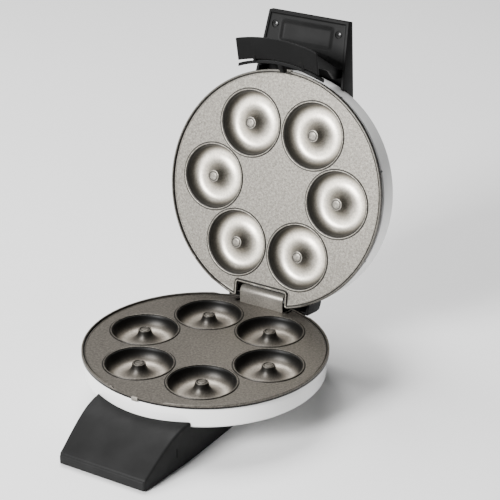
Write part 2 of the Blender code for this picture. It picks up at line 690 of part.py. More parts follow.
def band():
    """Hollow band over the lid, ending in the handle."""
    under = [(80.0, 19.0), (80.0, 31.9), (-95.0, 31.9), (-95.0, 23.5), (-166.4, 28.0)]
    outer = prism_x(scaled(BAND_TOP + under), -60 * MM, 60 * MM)
    inner = prism_x(scaled(BAND_INSIDE + [(60.0, 10.0), (-164.3, 10.0)]), -60 * MM, 60 * MM)
    outer = boolean(outer, band_plan(0), "INTERSECT")
    inner = boolean(inner, band_plan(BAND_WALL), "INTERSECT")
    lid = rod((0, 0, -10 * MM), (0, 0, LID_TOP + GAP), LID_SEAT_RADIUS, ROUND_SEGMENTS)
    shell = cut(outer, inner, lid)
    bosses = [rod((x, y, LID_TOP + GAP), (x, y, 44 * MM), 4 * MM) for x, y in BAND_SCREWS]
    bosses += [rod((x, y, 30.4 * MM), (x, y, 36.5 * MM), 3.6 * MM) for x, y in HANDLE_SCREWS]
    bosses += [rod((side * 42.3 * MM, *LATCH_PIVOT), (side * 46 * MM, *LATCH_PIVOT), 3.3 * MM)
               for side in (-1, 1)]
    holes = [rod((x, y, 30 * MM), (x, y, 41 * MM), PILOT_RADIUS) for x, y in BAND_SCREWS]
    holes += [rod((x, y, 28 * MM), (x, y, 34.5 * MM), PILOT_RADIUS) for x, y in HANDLE_SCREWS]
    holes += [rod((x, y, 40 * MM), (x, y, 70 * MM), 3.3 * MM) for x, y in LAMPS]
    holes.append(rod((-45.9 * MM, *LATCH_PIVOT), (45.9 * MM, *LATCH_PIVOT), PILOT_RADIUS))
    body = fused(shell, joined(bosses), hinge_arm(-1), hinge_arm(1))
    return cut(body, joined(holes), hinge_bore())


def handle_cover():
    """Underside cover of the handle with its recess and two countersinks."""
    outline = scaled([(-163.7, 28.4), (-118.0, 25.6), (-118.0, 27.6), (-163.7, 30.4)])
    cover = prism_x(outline, -60 * MM, 60 * MM)
    cover = boolean(cover, band_plan(BAND_WALL + 0.35 * MM), "INTERSECT")
    latch_clearance = rod((0, 0, 0), (0, 0, 50 * MM), 135 * MM, ROUND_SEGMENTS)
    recess = prism_x(scaled([(-157.8, 20.0), (-140.1, 20.0), (-140.1, 28.05), (-157.8, 29.15)]),
                     -26.5 * MM, 26.5 * MM)
    sinks = [rod((x, y, 20 * MM), (x, y, 28.9 * MM), 3.9 * MM, 12) for x, y in HANDLE_SCREWS]
    holes = [rod((x, y, 20 * MM), (x, y, 40 * MM), PILOT_RADIUS) for x, y in HANDLE_SCREWS]
    return cut(cover, latch_clearance, recess, joined(sinks), joined(holes))


place("lid_band", "lid", band(), BLACK, 0.45)
place("handle_cover", "lid", handle_cover(), BLACK, 0.5)
place_each("handle_screw", "lid",
           headed_screws(HANDLE_SCREWS, 27.6 * MM, 28.6 * MM, 33.5 * MM, 2.6 * MM),
           (0.08, 0.08, 0.08), 0.3, 1.0)
place_each("band_screw", "lid",
           headed_screws(BAND_SCREWS, 27.2 * MM, 28.8 * MM, 39 * MM), STEEL, 0.3, 1.0)

LENS_PROFILE = [(0, 41.2 * MM), (3 * MM, 41.2 * MM), (3 * MM, 46.4 * MM),
                (2.2 * MM, 47.2 * MM), (0, 47.4 * MM)]
LAMP_PROFILE = [(0, 32.2 * MM), (2 * MM, 32.2 * MM), (2 * MM, 39.2 * MM), (0, 40.8 * MM)]
place("power_lamp_lens", "lid", turned(LENS_PROFILE, 16, LAMPS[0]), (0.7, 0.02, 0.02), 0.15)
place("ready_lamp_lens", "lid", turned(LENS_PROFILE, 16, LAMPS[1]), (0.02, 0.5, 0.08), 0.15)
place_each("neon_lamp", "lid", [turned(LAMP_PROFILE, 10, spot) for spot in LAMPS],
           (0.9, 0.6, 0.4), 0.1)


# ------------------------------------------------------------------------ latch

RIB_TOP = -12 * MM


def tab_section(x):
    """Section of the curved finger tab at one distance from the middle."""
    near_y = 25.5 * MM - math.sqrt((151 * MM) ** 2 - x * x)
    free_y = 27 * MM - math.sqrt((173.1 * MM) ** 2 - x * x)
    return [(x, near_y, -18.4 * MM), (x, near_y, -20.2 * MM), (x, free_y, -29.4 * MM),
            (x, free_y, -27.4 * MM)]


def rib_section(x, low):
    """Section of the narrow rib behind the finger tab, down to a lower edge."""
    inner = -math.sqrt((121.6 * MM) ** 2 - x * x)
    outer = -math.sqrt((124.6 * MM) ** 2 - x * x)
    return [(x, inner, RIB_TOP), (x, inner, low), (x, outer, low), (x, outer, RIB_TOP)]


def rib():
    """Curved rib that tapers to thin ends."""
    places = [(-46, -13.6), (-37, -16.6)]
    places += [(x, -17.6) for x in range(-28, 29, 7)]
    places += [(37, -16.6), (46, -13.6)]
    return loft([rib_section(x * MM, low * MM) for x, low in places])


def latch_arm(side):
    """Side arm from the pivot eye to the finger tab."""
    outline = arc(LATCH_PIVOT, 3.8 * MM, 0, 180, 6)
    outline += scaled([(-121.3, 26.0), (-139.0, -27.4), (-126.5, -21.5), (-121.8, 4.0),
                       (-113.4, 17.0), (-113.4, 26.0)])
    return prism_x(outline, side * LATCH_ARM_INNER_X, side * LATCH_ARM_OUTER_X)


def gusset(side):
    """Web that carries the rib from the finger tab."""
    outline = scaled([(-119.8, -13.5), (-119.8, -17.3), (-124.5, -20.6), (-127.0, -21.3),
                      (-127.0, -19.4), (-121.5, -13.5)])
    return prism_x(outline, side * 25 * MM, side * 27.5 * MM)


def hook():
    """Centre hook that reaches under the lower plate's front lug."""
    outline = scaled([(-123.2, -17.3), (-117.0, -13.0), (-114.1, -9.5), (-114.1, -5.55),
                      (-116.6, -5.55), (-119.0, -8.5), (-123.2, -12.4)])
    return prism_x(outline, -2.6 * MM, 2.6 * MM)


def latch():
    """The whole moulded latch."""
    steps = 12
    reach = LATCH_ARM_OUTER_X + 1.5 * MM
    tab = loft([tab_section(-reach + 2 * reach * step / steps) for step in range(steps + 1)])
    eye_bore = rod((-60 * MM, *LATCH_PIVOT), (60 * MM, *LATCH_PIVOT), PILOT_RADIUS)
    body = fused(tab, latch_arm(-1), latch_arm(1), rib(), gusset(-1), gusset(1), hook())
    return cut(body, eye_bore)


def pivot_pins():
    """Short pins from the band's side walls into the latch's eyes."""
    return [rod((side * 37.6 * MM, *LATCH_PIVOT), (side * 45.6 * MM, *LATCH_PIVOT), 1.5 * MM)
            for side in (-1, 1)]


place("latch_clip", "latch", latch(), BLACK, 0.45)
place_each("latch_pivot_pin", "lid", pivot_pins(), STEEL, 0.25, 1.0)


# ----------------------------------------------------------------------- wiring

def wires(routes, radius=1 * MM):
    """Separate insulated leads."""
    return [tube([Vector(point) * MM for point in route], radius, 6) for route in routes]


LOWER_ROUTES = [
    [(-5, 80, -40.6), (-4.5, 83, -36), (-2.5, 87.5, -31), (-2.5, 88, -24), (-3.5, 88, -16),
     (-12, 89, -14), (-30, 92, -14.2), (-36.5, 94, -14.5)],
    [(5, 80, -40.6), (4.5, 83, -36), (2.5, 87, -31), (2.5, 87, -25), (2.4, 85, -20.8),
     (2, 60, -20.6), (1.5, 4, -20.6), (1.2, 1.5, -19.8), (1, 0.3, -17), (1, 0, -12.8)],
]
UPPER_ROUTES = [
    [(0, 88, 21), (-3, 88, 16), (-12, 89, 14), (-30, 92, 14.2), (-36.5, 94, 14.5)],
    [(8, 30, 36), (3, 30, 33), (0, 30, 27), (0, 28, 20.9), (0, 4, 20.6), (0.5, 1.5, 19.8),
     (1, 0.3, 17), (1, 0, 12.8)],
]
place_each("lower_lead", "base", wires(LOWER_ROUTES), (0.75, 0.72, 0.65), 0.6)
place_each("upper_lead", "lid", wires(UPPER_ROUTES), (0.75, 0.72, 0.65), 0.6)
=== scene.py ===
"""Looks of the six-ring donut maker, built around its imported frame.

Shapes are drawn in plate coordinates with the lid closed: X right, Y to the hinge,
Z up, origin at the plates' centre in the parting plane. PLACES puts them in the frame.
"""
import json
import math

import bmesh
import bpy
from mathutils import Matrix, Vector
from mathutils.geometry import delaunay_2d_cdt


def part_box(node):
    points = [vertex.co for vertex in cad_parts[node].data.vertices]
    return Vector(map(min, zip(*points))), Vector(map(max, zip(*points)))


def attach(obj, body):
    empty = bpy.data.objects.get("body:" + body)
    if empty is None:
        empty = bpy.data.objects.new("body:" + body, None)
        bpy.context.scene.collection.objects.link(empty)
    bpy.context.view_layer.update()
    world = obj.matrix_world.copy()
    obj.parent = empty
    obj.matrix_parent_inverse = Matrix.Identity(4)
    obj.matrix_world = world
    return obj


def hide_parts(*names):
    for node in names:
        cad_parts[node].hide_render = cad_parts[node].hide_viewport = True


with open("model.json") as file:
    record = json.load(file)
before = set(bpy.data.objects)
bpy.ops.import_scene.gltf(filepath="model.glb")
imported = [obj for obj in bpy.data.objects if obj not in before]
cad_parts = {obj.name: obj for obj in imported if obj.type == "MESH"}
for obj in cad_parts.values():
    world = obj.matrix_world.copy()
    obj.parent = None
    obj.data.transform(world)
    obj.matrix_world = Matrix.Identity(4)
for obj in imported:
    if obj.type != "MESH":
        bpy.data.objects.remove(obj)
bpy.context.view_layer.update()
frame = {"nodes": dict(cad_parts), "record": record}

MM = 0.001

# ------------------------------------------------------------- places in the frame

JOINTS = {joint["name"]: joint for joint in frame["record"]["behaviour"]["joints"]}
HINGE = Vector(JOINTS["lid_hinge"]["pos_m"])
OPEN_ANGLE = math.radians(JOINTS["lid_hinge"]["range_deg"][1])
HOUSING_LOW, HOUSING_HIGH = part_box("lower_housing")
HOUSING_RADIUS = (HOUSING_HIGH[0] - HOUSING_LOW[0]) / 2
PLATE_LOW, PLATE_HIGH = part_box("lower_plate")
PLATE_RADIUS = (PLATE_HIGH[0] - PLATE_LOW[0]) / 2
REVEAL = 4.6 * MM                 # parting plane above the lower housing's edge
CENTRE = Vector((0, HOUSING_LOW[1] + HOUSING_RADIUS, HOUSING_HIGH[2] + REVEAL))
BASE_PLACE = Matrix.Translation(CENTRE)
OPENING = Matrix.Translation(HINGE) @ Matrix.Rotation(-OPEN_ANGLE, 4, "X")
LID_PLACE = OPENING @ Matrix.Translation(CENTRE - HINGE)
PLACES = {"base": BASE_PLACE, "lid": LID_PLACE, "latch": LID_PLACE}

AXIS = (HINGE - CENTRE).yz        # hinge axis in plate coordinates
PIVOT = (LID_PLACE.inverted() @ Vector(JOINTS["latch_pivot"]["pos_m"])).yz
FLOOR = -CENTRE.z                 # table height in plate coordinates
GAP = 0.3 * MM                    # between pieces that rest on each other

# ------------------------------------------------------------------ mesh helpers


def mesh_of(verts, faces):
    """A mesh with its faces turned outwards."""
    edit = bmesh.new()
    made = [edit.verts.new(vert) for vert in verts]
    for face in faces:
        edit.faces.new([made[index] for index in face])
    bmesh.ops.recalc_face_normals(edit, faces=edit.faces)
    mesh = bpy.data.meshes.new("shape")
    edit.to_mesh(mesh)
    edit.free()
    return mesh


def loft(sections):
    """Skin a row of closed outlines with equal numbers of points, and cap the ends."""
    size = len(sections[0])
    verts = [point for section in sections for point in section]
    faces = []
    for row in range(len(sections) - 1):
        for index in range(size):
            follow = (index + 1) % size
            start = row * size
            faces.append((start + index, start + follow, start + size + follow,
                          start + size + index))
    faces.append(tuple(range(size)))
    faces.append(tuple(range(len(verts) - size, len(verts))))
    return mesh_of(verts, faces)


def prism_x(outline, low, high):
    """Extrude a (y, z) outline between two X positions."""
    return loft([[(x, y, z) for y, z in outline] for x in (low, high)])


def prism_z(outline, low, high):
    """Extrude an (x, y) outline between two heights."""
    return loft([[(x, y, z) for x, y in outline] for z in (low, high)])


def box(x_range, y_range, z_range):
    """A rectangular block."""
    (y0, y1), (z0, z1) = y_range, z_range
    return prism_x([(y0, z0), (y1, z0), (y1, z1), (y0, z1)], *x_range)


def turned(profile, segments=192, centre=(0, 0)):
    """Turn a closed (r, z) outline about a Z axis."""
    edit = bmesh.new()
    shared = {index: edit.verts.new((*centre, z))
              for index, (r, z) in enumerate(profile) if r == 0}
    grid = []
    for step in range(segments):
        angle = 2 * math.pi * step / segments
        sine, cosine = math.sin(angle), math.cos(angle)
        grid.append([shared.get(index) or
                     edit.verts.new((centre[0] + r * sine, centre[1] + r * cosine, z))
                     for index, (r, z) in enumerate(profile)])
    for left, right in zip(grid, grid[1:] + grid[:1]):
        for index in range(len(profile)):
            follow = (index + 1) % len(profile)
            corners = (left[index], left[follow], right[follow], right[index])
            unique = list(dict.fromkeys(corners))
            if len(unique) > 2:
                edit.faces.new(unique)
    bmesh.ops.recalc_face_normals(edit, faces=edit.faces)
    mesh = bpy.data.meshes.new("shape")
    edit.to_mesh(mesh)
    edit.free()
    return mesh


def rod(start, end, radius, segments=32):
    """A plain cylinder between two points."""
    start, end = Vector(start), Vector(end)
    along = (end - start).normalized()
    side = along.orthogonal().normalized()
    across = along.cross(side)
    angles = [2 * math.pi * step / segments for step in range(segments)]
    ring = [radius * (math.cos(a) * side + math.sin(a) * across) for a in angles]
    return loft([[point + offset for offset in ring] for point in (start, end)])


def joined(meshes):
    """Put shapes in one mesh."""
    edit = bmesh.new()
    for mesh in meshes:
        edit.from_mesh(mesh)
    result = bpy.data.meshes.new("shape")
    edit.to_mesh(result)
    edit.free()
    return result


def flipped(mesh):
    """Mirror a shape in the parting plane."""
    edit = bmesh.new()
    edit.from_mesh(mesh)
    bmesh.ops.transform(edit, matrix=Matrix.Diagonal((1, 1, -1, 1)), verts=edit.verts)
    bmesh.ops.reverse_faces(edit, faces=edit.faces)
    result = bpy.data.meshes.new("shape")
    edit.to_mesh(result)
    edit.free()
    return result


def modified(mesh, kind, **settings):
    """The mesh after one modifier."""
    work = bpy.data.objects.new("work", mesh)
    bpy.context.scene.collection.objects.link(work)
    modifier = work.modifiers.new("change", kind)
    for name, value in settings.items():
        setattr(modifier, name, value)
    evaluated = work.evaluated_get(bpy.context.evaluated_depsgraph_get())
    result = bpy.data.meshes.new_from_object(evaluated)
    bpy.data.objects.remove(work)
    return result


def boolean(body, tool, operation):
    """Exact Boolean of two meshes."""
    cutter = bpy.data.objects.new("cutter", tool)
    bpy.context.scene.collection.objects.link(cutter)
    result = modified(body, "BOOLEAN", operation=operation, solver="EXACT", object=cutter)
    bpy.data.objects.remove(cutter)
    return result


def fused(body, *tools):
    """Union of a body with each tool."""
    for tool in tools:
        body = boolean(body, tool, "UNION")
    return body


def cut(body, *tools):
    """A body less each tool."""
    for tool in tools:
        body = boolean(body, tool, "DIFFERENCE")
    return body


def rounded(mesh, width, segments=3, angle=35):
    """Round the sharp edges of a shape."""
    return modified(mesh, "BEVEL", width=width, segments=segments, limit_method="ANGLE",
                    angle_limit=math.radians(angle), use_clamp_overlap=True)


def arc(centre, radius, start, end, steps):
    """Points on a circle between two angles in degrees."""
    angles = [math.radians(start + (end - start) * step / steps) for step in range(steps + 1)]
    return [(centre[0] + radius * math.cos(a), centre[1] + radius * math.sin(a)) for a in angles]


def scaled(points):
    """Outline points given in millimetres."""
    return [tuple(value * MM for value in point) for point in points]


def smooth_line(points, steps):
    """A Catmull-Rom line through some points."""
    padded = [points[0]] + list(points) + [points[-1]]
    line = []
    for before, start, end, after in zip(padded, padded[1:], padded[2:], padded[3:]):
        for step in range(steps):
            t = step / steps
            line.append(tuple(
                0.5 * (2 * b + (c - a) * t + (2 * a - 5 * b + 4 * c - d) * t ** 2
                       + (3 * b - a - 3 * c + d) * t ** 3)
                for a, b, c, d in zip(before, start, end, after)))
    line.append(tuple(points[-1]))
    return line


def polar(radius, angle):
    """A point at an angle from the hinge direction."""
    return radius * math.sin(angle), radius * math.cos(angle)


def opened(y, z):
    """Where a point of the closed lid goes when the lid is fully open."""
    turn = Matrix.Rotation(-OPEN_ANGLE, 2)
    moved = turn @ (Vector((y, z)) - AXIS) + AXIS
    return moved.x, moved.y


# ---------------------------------------------------------------------- materials


class Look:
    """A procedural Principled material, built step by step."""

    def __init__(self, name, color, roughness, metallic=0.0):
        self.material = bpy.data.materials.new(name)
        self.material.use_nodes = True
        self.nodes = self.material.node_tree.nodes
        self.links = self.material.node_tree.links
        self.shader = self.nodes["Principled BSDF"]
        self.set("Base Color", (*color, 1))
        self.set("Roughness", roughness)
        self.set("Metallic", metallic)
        self.coords = self.nodes.new("ShaderNodeTexCoord").outputs["Object"]
        self.normal = None

    def set(self, socket, value):
        """Set one of the shader's own values."""
        self.shader.inputs[socket].default_value = value

    def noise(self, size, detail=2.0):
        """Noise whose features are about `size` metres."""
        texture = self.nodes.new("ShaderNodeTexNoise")
        texture.inputs["Scale"].default_value = 1 / size
        texture.inputs["Detail"].default_value = detail
        self.links.new(self.coords, texture.inputs["Vector"])
        return texture.outputs["Fac"]

    def share(self, source, near, far):
        """0 to 1 as a value goes from near to far."""
        node = self.nodes.new("ShaderNodeMapRange")
        node.inputs["From Min"].default_value = near
        node.inputs["From Max"].default_value = far
        self.links.new(source, node.inputs["Value"])
        return node.outputs["Result"]

    def upright(self, source):
        """Size of a vector's Z part."""
        split = self.nodes.new("ShaderNodeSeparateXYZ")
        self.links.new(source, split.inputs["Vector"])
        size = self.nodes.new("ShaderNodeMath")
        size.operation = "ABSOLUTE"
        self.links.new(split.outputs["Z"], size.inputs[0])
        return size.outputs["Value"]

    def depth(self, near, far):
        """0 to 1 as the distance from the parting plane goes from near to far."""
        return self.share(self.upright(self.coords), near, far)

    def distance(self, near, far):
        """0 to 1 as the distance from the plates' centre line goes from near to far."""
        level = self.nodes.new("ShaderNodeVectorMath")
        level.operation = "MULTIPLY"
        level.inputs[1].default_value = (1, 1, 0)
        self.links.new(self.coords, level.inputs[0])
        length = self.nodes.new("ShaderNodeVectorMath")
        length.operation = "LENGTH"
        self.links.new(level.outputs["Vector"], length.inputs[0])
        return self.share(length.outputs["Value"], near, far)

    def slope(self):
        """1 where the surface lies parallel to the plates, 0 where it is upright."""
        return self.upright(self.nodes["Texture Coordinate"].outputs["Normal"])

    def ramp(self, source, *stops):
        """Map a 0 to 1 value onto colours at positions."""
        node = self.nodes.new("ShaderNodeValToRGB")
        elements = node.color_ramp.elements
        while len(elements) < len(stops):
            elements.new(0.5)
        for element, (position, color) in zip(elements, stops):
            element.position = position
            if isinstance(color, float):
                color = (color, color, color)
            element.color = (*color, 1)
        self.links.new(source, node.inputs["Fac"])
        return node.outputs["Color"]

    def mix(self, factor, first, second, mode="MIX"):
        """Blend two colours."""
        node = self.nodes.new("ShaderNodeMix")
        node.data_type = "RGBA"
        node.blend_type = mode
        for socket, value in ((node.inputs["Factor"], factor), (node.inputs[6], first),
                              (node.inputs[7], second)):
            if isinstance(value, (int, float)):
                socket.default_value = value
            elif isinstance(value, tuple):
                socket.default_value = (*value, 1)
            else:
                self.links.new(value, socket)
        return node.outputs[2]

    def color(self, source):
        """Use a colour pattern."""
        self.links.new(source, self.shader.inputs["Base Color"])

    def roughness(self, source, low, high):
        """Vary the roughness with a 0 to 1 pattern."""
        node = self.nodes.new("ShaderNodeMapRange")
        node.inputs["To Min"].default_value = low
        node.inputs["To Max"].default_value = high
        self.links.new(source, node.inputs["Value"])
        self.links.new(node.outputs["Result"], self.shader.inputs["Roughness"])

    def bump(self, source, height):
        """Add relief `height` metres deep."""
        node = self.nodes.new("ShaderNodeBump")
        node.inputs["Strength"].default_value = 1.0
        node.inputs["Distance"].default_value = height
        self.links.new(source, node.inputs["Height"])
        if self.normal:
            self.links.new(self.normal, node.inputs["Normal"])
        self.normal = node.outputs["Normal"]
        self.links.new(self.normal, self.shader.inputs["Normal"])


def times(tone, factor):
    """A colour made lighter or darker."""
    return tuple(min(1, value * factor) for value in tone)


COAT_METALLIC = 0.6
COAT_RELIEF = 0.02 * MM
FACE_DEPTH = 6 * MM               # the speckled coat reaches down to here, and the painted highlight is all there is from here
PAINTED_HIGHLIGHT_DEPTH = 13 * MM            # and the smooth one is all there is from here
SHADE_DEPTH = 15 * MM             # where the painted shades by depth end
RIM_CREST = 1.7 * MM              # width of the rim's crest
RIM_BLEND = 0.05 * MM
# Painted shade on the coat by slope and by depth, on the cavities' outer walls and round the nubs
WALL_SLOPE_SHADES = (0.1, 0.12), (0.45, 0.3), (0.8, 0.75), (0.97, 1.0)
NUB_SLOPE_SHADES = (0.1, 0.45), (0.8, 0.8), (0.97, 1.0)
WALL_DEPTH_SHADES = ((0.1353, 1.0), (0.145, 0.08), (0.45, 0.16), (0.633, 0.28), (0.767, 0.45),
               (0.867, 0.66), (0.933, 0.87), (0.973, 1.0))
NUB_DEPTH_SHADES = (0.1353, 1.0), (0.15, 0.3), (0.5, 0.4), (0.75, 0.52), (0.9, 0.78), (0.973, 1.0)


def coat_with_painted_light(name, tone, fleck, roughness, crest, slope_shade_stops=WALL_SLOPE_SHADES, depth_shade_stops=WALL_DEPTH_SHADES):
    """Speckled non-stick coat on cast aluminium, with a painted highlight deep in the cavities.

    Steep faces, grooves and the upper walls of the cavities carry painted shade, and the
    crest of the plate's rim has a painted shade of its own.
    """
    look = Look(name, tone, roughness, COAT_METALLIC)
    speckle = look.mix(0.5, look.noise(0.9 * MM), look.noise(2.2 * MM))
    mottled = look.ramp(speckle, (0.36, times(tone, 0.6)), (0.5, tone), (0.64, fleck))
    # Painted highlight: the coat's speckle made 3.2 to 4.6 times lighter deep in the cavities, for
    # the bright ring of reflected light there
    painted_highlight = look.ramp(speckle, (0.36, times(tone, 3.2)), (0.6, times(tone, 4.6)))
    coat = look.mix(look.depth(FACE_DEPTH, PAINTED_HIGHLIGHT_DEPTH), mottled, painted_highlight)
    # On the rim's crest a flat painted shade, the crest value, takes the place of the painted
    # shade by slope
    start = PLATE_RADIUS - RIM_CREST
    on_crest = look.distance(start - RIM_BLEND, start + RIM_BLEND)
    # Painted shade by slope: steep faces and grooves darkened, except on the rim's crest
    painted_slope_shade = look.mix(on_crest, look.ramp(look.slope(), *slope_shade_stops), (crest, crest, crest))
    # Painted shade by depth: the cavities' upper walls darkened
    low = look.ramp(look.depth(0, SHADE_DEPTH), *depth_shade_stops)
    # Colour: the coat with its painted highlight, times both painted shades
    look.color(look.mix(1.0, look.mix(1.0, coat, painted_slope_shade, "MULTIPLY"), low, "MULTIPLY"))
    look.roughness(look.noise(14 * MM), roughness - 0.04, roughness + 0.04)
    look.bump(look.noise(0.5 * MM), COAT_RELIEF)
    return look.material


def plain_coating():
    """The plates' coat on the hinge tab and the lugs, without their painted shade by slope."""
    look = Look("plain_coating", (0.22, 0.205, 0.18), 0.42, COAT_METALLIC)
    grain = look.noise(1.2 * MM, 3)
    look.color(look.ramp(grain, (0.34, (0.17, 0.158, 0.138)), (0.5, (0.21, 0.196, 0.172)),
                         (0.68, (0.27, 0.253, 0.224))))
    look.bump(look.noise(0.5 * MM), COAT_RELIEF)
    return look.material


def gloss_white():
    """Glossy moulded casing with faint orange peel."""
    look = Look("gloss_white", (0.86, 0.86, 0.85), 0.2)
    look.set("Coat Weight", 0.3)
    look.set("Coat Roughness", 0.08)
    look.color(look.ramp(look.noise(60 * MM, 1), (0.3, (0.85, 0.85, 0.84)),
                         (0.7, (0.88, 0.88, 0.87))))
    look.roughness(look.noise(9 * MM, 3), 0.17, 0.26)
    look.bump(look.noise(5 * MM, 1), 0.006 * MM)
    return look.material


def moulded_black(name, tone=0.007, roughness=0.5):
    """Satin black moulding with a fine eroded texture."""
    look = Look(name, (tone, tone, tone), roughness)
    look.set("Specular IOR Level", 0.08)
    look.color(look.ramp(look.noise(22 * MM, 3), (0.35, tone * 0.9), (0.7, tone * 1.25)))
    look.roughness(look.noise(7 * MM, 3), roughness - 0.05, roughness + 0.07)
    look.bump(look.noise(0.35 * MM), 0.012 * MM)
    return look.material


def metal(name, tone, roughness, grain_size=0.4 * MM):
    """Plain metal with fine marks."""
    look = Look(name, tone, roughness, 1.0)
    grain = look.noise(grain_size, 3)
    look.color(look.ramp(grain, (0.3, times(tone, 0.85)), (0.7, tone)))
    look.roughness(grain, roughness - 0.06, roughness + 0.1)
    look.bump(grain, 0.003 * MM)
    return look.material


def simple_part(name, tone, roughness, metallic=0.0):
    """Small inner part with slight mottling."""
    look = Look(name, tone, roughness, metallic)
    look.color(look.ramp(look.noise(1.5 * MM, 3), (0.3, times(tone, 0.85)), (0.7, tone)))
    look.bump(look.noise(0.6 * MM), 0.01 * MM)
    return look.material


# Tone, fleck and roughness of each plate's coat; the lower plate's are darker than the upper's,
# partly its own tone and partly painted shade
SHADED_LOWER_COAT = (0.085, 0.076, 0.064), (0.13, 0.118, 0.1), 0.45
UPPER_COAT = (0.205, 0.191, 0.165), (0.31, 0.293, 0.258), 0.42
LOOKS = {
    # The last value is the rim crest's painted shade: 1.0 on the lower plate, 0.4 on the upper
    "lower_coating": coat_with_painted_light("lower_coating", *SHADED_LOWER_COAT, 1.0),
    "upper_coating": coat_with_painted_light("upper_coating", *UPPER_COAT, 0.4),
    "white_casing": gloss_white(),
    "black_moulding": moulded_black("black_moulding"),
    "black_trim": moulded_black("black_trim", 0.009, 0.48),
    "dark_bezel": moulded_black("dark_bezel", 0.005, 0.6),
    "steel": metal("steel", (0.72, 0.71, 0.69), 0.26),
    "black_steel": metal("black_steel", (0.045, 0.045, 0.045), 0.3),
    "reflector_sheet": metal("reflector_sheet", (0.7, 0.7, 0.68), 0.3, 0.8 * MM),
    "element_sheath": metal("element_sheath", (0.2, 0.19, 0.18), 0.5),
    "rubber": simple_part("rubber", (0.025, 0.025, 0.025), 0.85),
    "lead_insulation": simple_part("lead_insulation", (0.75, 0.72, 0.65), 0.6),
    "lamp_glass": simple_part("lamp_glass", (0.9, 0.7, 0.5), 0.1),
    "red_lens": simple_part("red_lens", (0.6, 0.02, 0.015), 0.15),
    "green_lens": simple_part("green_lens", (0.02, 0.45, 0.07), 0.15),
    "pale_plastic": simple_part("pale_plastic", (0.8, 0.78, 0.7), 0.4),
    "dark_phenolic": simple_part("dark_phenolic", (0.04, 0.035, 0.03), 0.5),
    "fuse_case": simple_part("fuse_case", (0.6, 0.58, 0.5), 0.35, 0.9),
}


def dress_cad_nodes():
    """Give every carried-over CAD node its slot's material."""
    for part in frame["record"]["subparts"]:
        node = frame["nodes"][part["node"]]
        node.data.materials.clear()
        node.data.materials.append(LOOKS[part["material_slot"]])


def add_piece(name, mesh, body, slot, *stands_for, sharp=35):
    """Add one fine piece, drawn in plate coordinates, to its body."""
    mesh.materials.clear()
    mesh.materials.append(LOOKS[slot])
    mesh.shade_smooth()
    mesh.set_sharp_from_angle(angle=math.radians(sharp))
    piece = bpy.data.objects.new(name, mesh)
    bpy.context.scene.collection.objects.link(piece)
    piece.matrix_world = PLACES[body]
    bpy.context.view_layer.update()
    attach(piece, body)
    if stands_for:
        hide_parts(*stands_for)
    return piece


# -------------------------------------------------------------------------- plates

FACE = -2 * MM
PLATE_WALL = 1.6 * MM
CAVITY_RING_RADIUS = 68.2 * MM
CAVITY_RADIUS = 30.5 * MM
CAVITY_DEPTH = 12.7 * MM
CAVITY_SKEW = 1.8 * MM            # the deepest line lies this much outwards
CAVITY_TURNS = 72
NUB_RADIUS = 6.2 * MM
DEEPEST_RADIUS = (CAVITY_RADIUS + NUB_RADIUS) / 2 + CAVITY_SKEW
LOWER_NOTCH_Y = 101.1 * MM
UPPER_NOTCH_Y = 96.4 * MM
NOTCH_HALF_WIDTH = 27.3 * MM
NOTCH_OUTER_CORNER = 2.6 * MM
NOTCH_INNER_CORNER = 1.4 * MM
RELIEF_START = 101 * MM
RELIEF_END = 103.5 * MM
RELIEF_KEEP = 0.35                # share of the rim's height left behind the hinge line
EPSILON = 1e-6                    # metres, for comparing places
CAVITY_CENTRES = [Vector(polar(CAVITY_RING_RADIUS, math.pi / 3 * (number + 0.5)))
                  for number in range(6)]

# Rim from its outer lower edge inwards: (distance from the outline, height)
RIM_PROFILE = scaled([(0.5, -4.2), (0.15, -4.1), (0.0, -3.8), (0.0, -2.4), (0.0, -0.8),
                      (0.12, -0.4), (0.35, -0.2), (0.7, -0.15), (1.4, -0.15), (1.65, -0.4),
                      (1.7, -0.9), (1.75, -1.9), (1.85, -2.4), (2.75, -2.45), (2.85, -2.2),
                      (2.95, -1.75), (3.15, -1.6), (3.6, -1.6), (3.8, -1.7), (3.95, -2.0),
                      (4.1, -2.0)])


def outline_half(notch_y):
    """Right half of a plate's outline with outward normals, front to rear middle."""
    corner, inner = NOTCH_OUTER_CORNER, NOTCH_INNER_CORNER
    centre_x = NOTCH_HALF_WIDTH + corner
    centre_y = math.sqrt((PLATE_RADIUS - corner) ** 2 - centre_x ** 2)
    meet = math.atan2(centre_y, centre_x)
    steps = 150
    places = []
    for step in range(steps + 1):
        angle = -math.pi / 2 + (meet + math.pi / 2) * step / steps
        normal = Vector((math.cos(angle), math.sin(angle)))
        places.append((normal * PLATE_RADIUS, normal))
    for step in range(1, 13):
        angle = meet + (math.pi - meet) * step / 12
        normal = Vector((math.cos(angle), math.sin(angle)))
        places.append((Vector((centre_x, centre_y)) + normal * corner, normal))
    for step in range(0, 9):
        angle = -math.pi / 2 * step / 8
        normal = -Vector((math.cos(angle), math.sin(angle)))
        middle = Vector((NOTCH_HALF_WIDTH - inner, notch_y + inner))
        places.append((middle - normal * inner, normal))
    for step in range(1, 9):
        x = (NOTCH_HALF_WIDTH - inner) * (1 - step / 8)
        places.append((Vector((x, notch_y)), Vector((0, 1))))
    return places


def plate_outline(notch_y):
    """Whole outline of a plate as points and outward normals."""
    right = outline_half(notch_y)
    left = [(Vector((-point.x, point.y)), Vector((-normal.x, normal.y)))
            for point, normal in reversed(right[1:-1])]
    return right + left


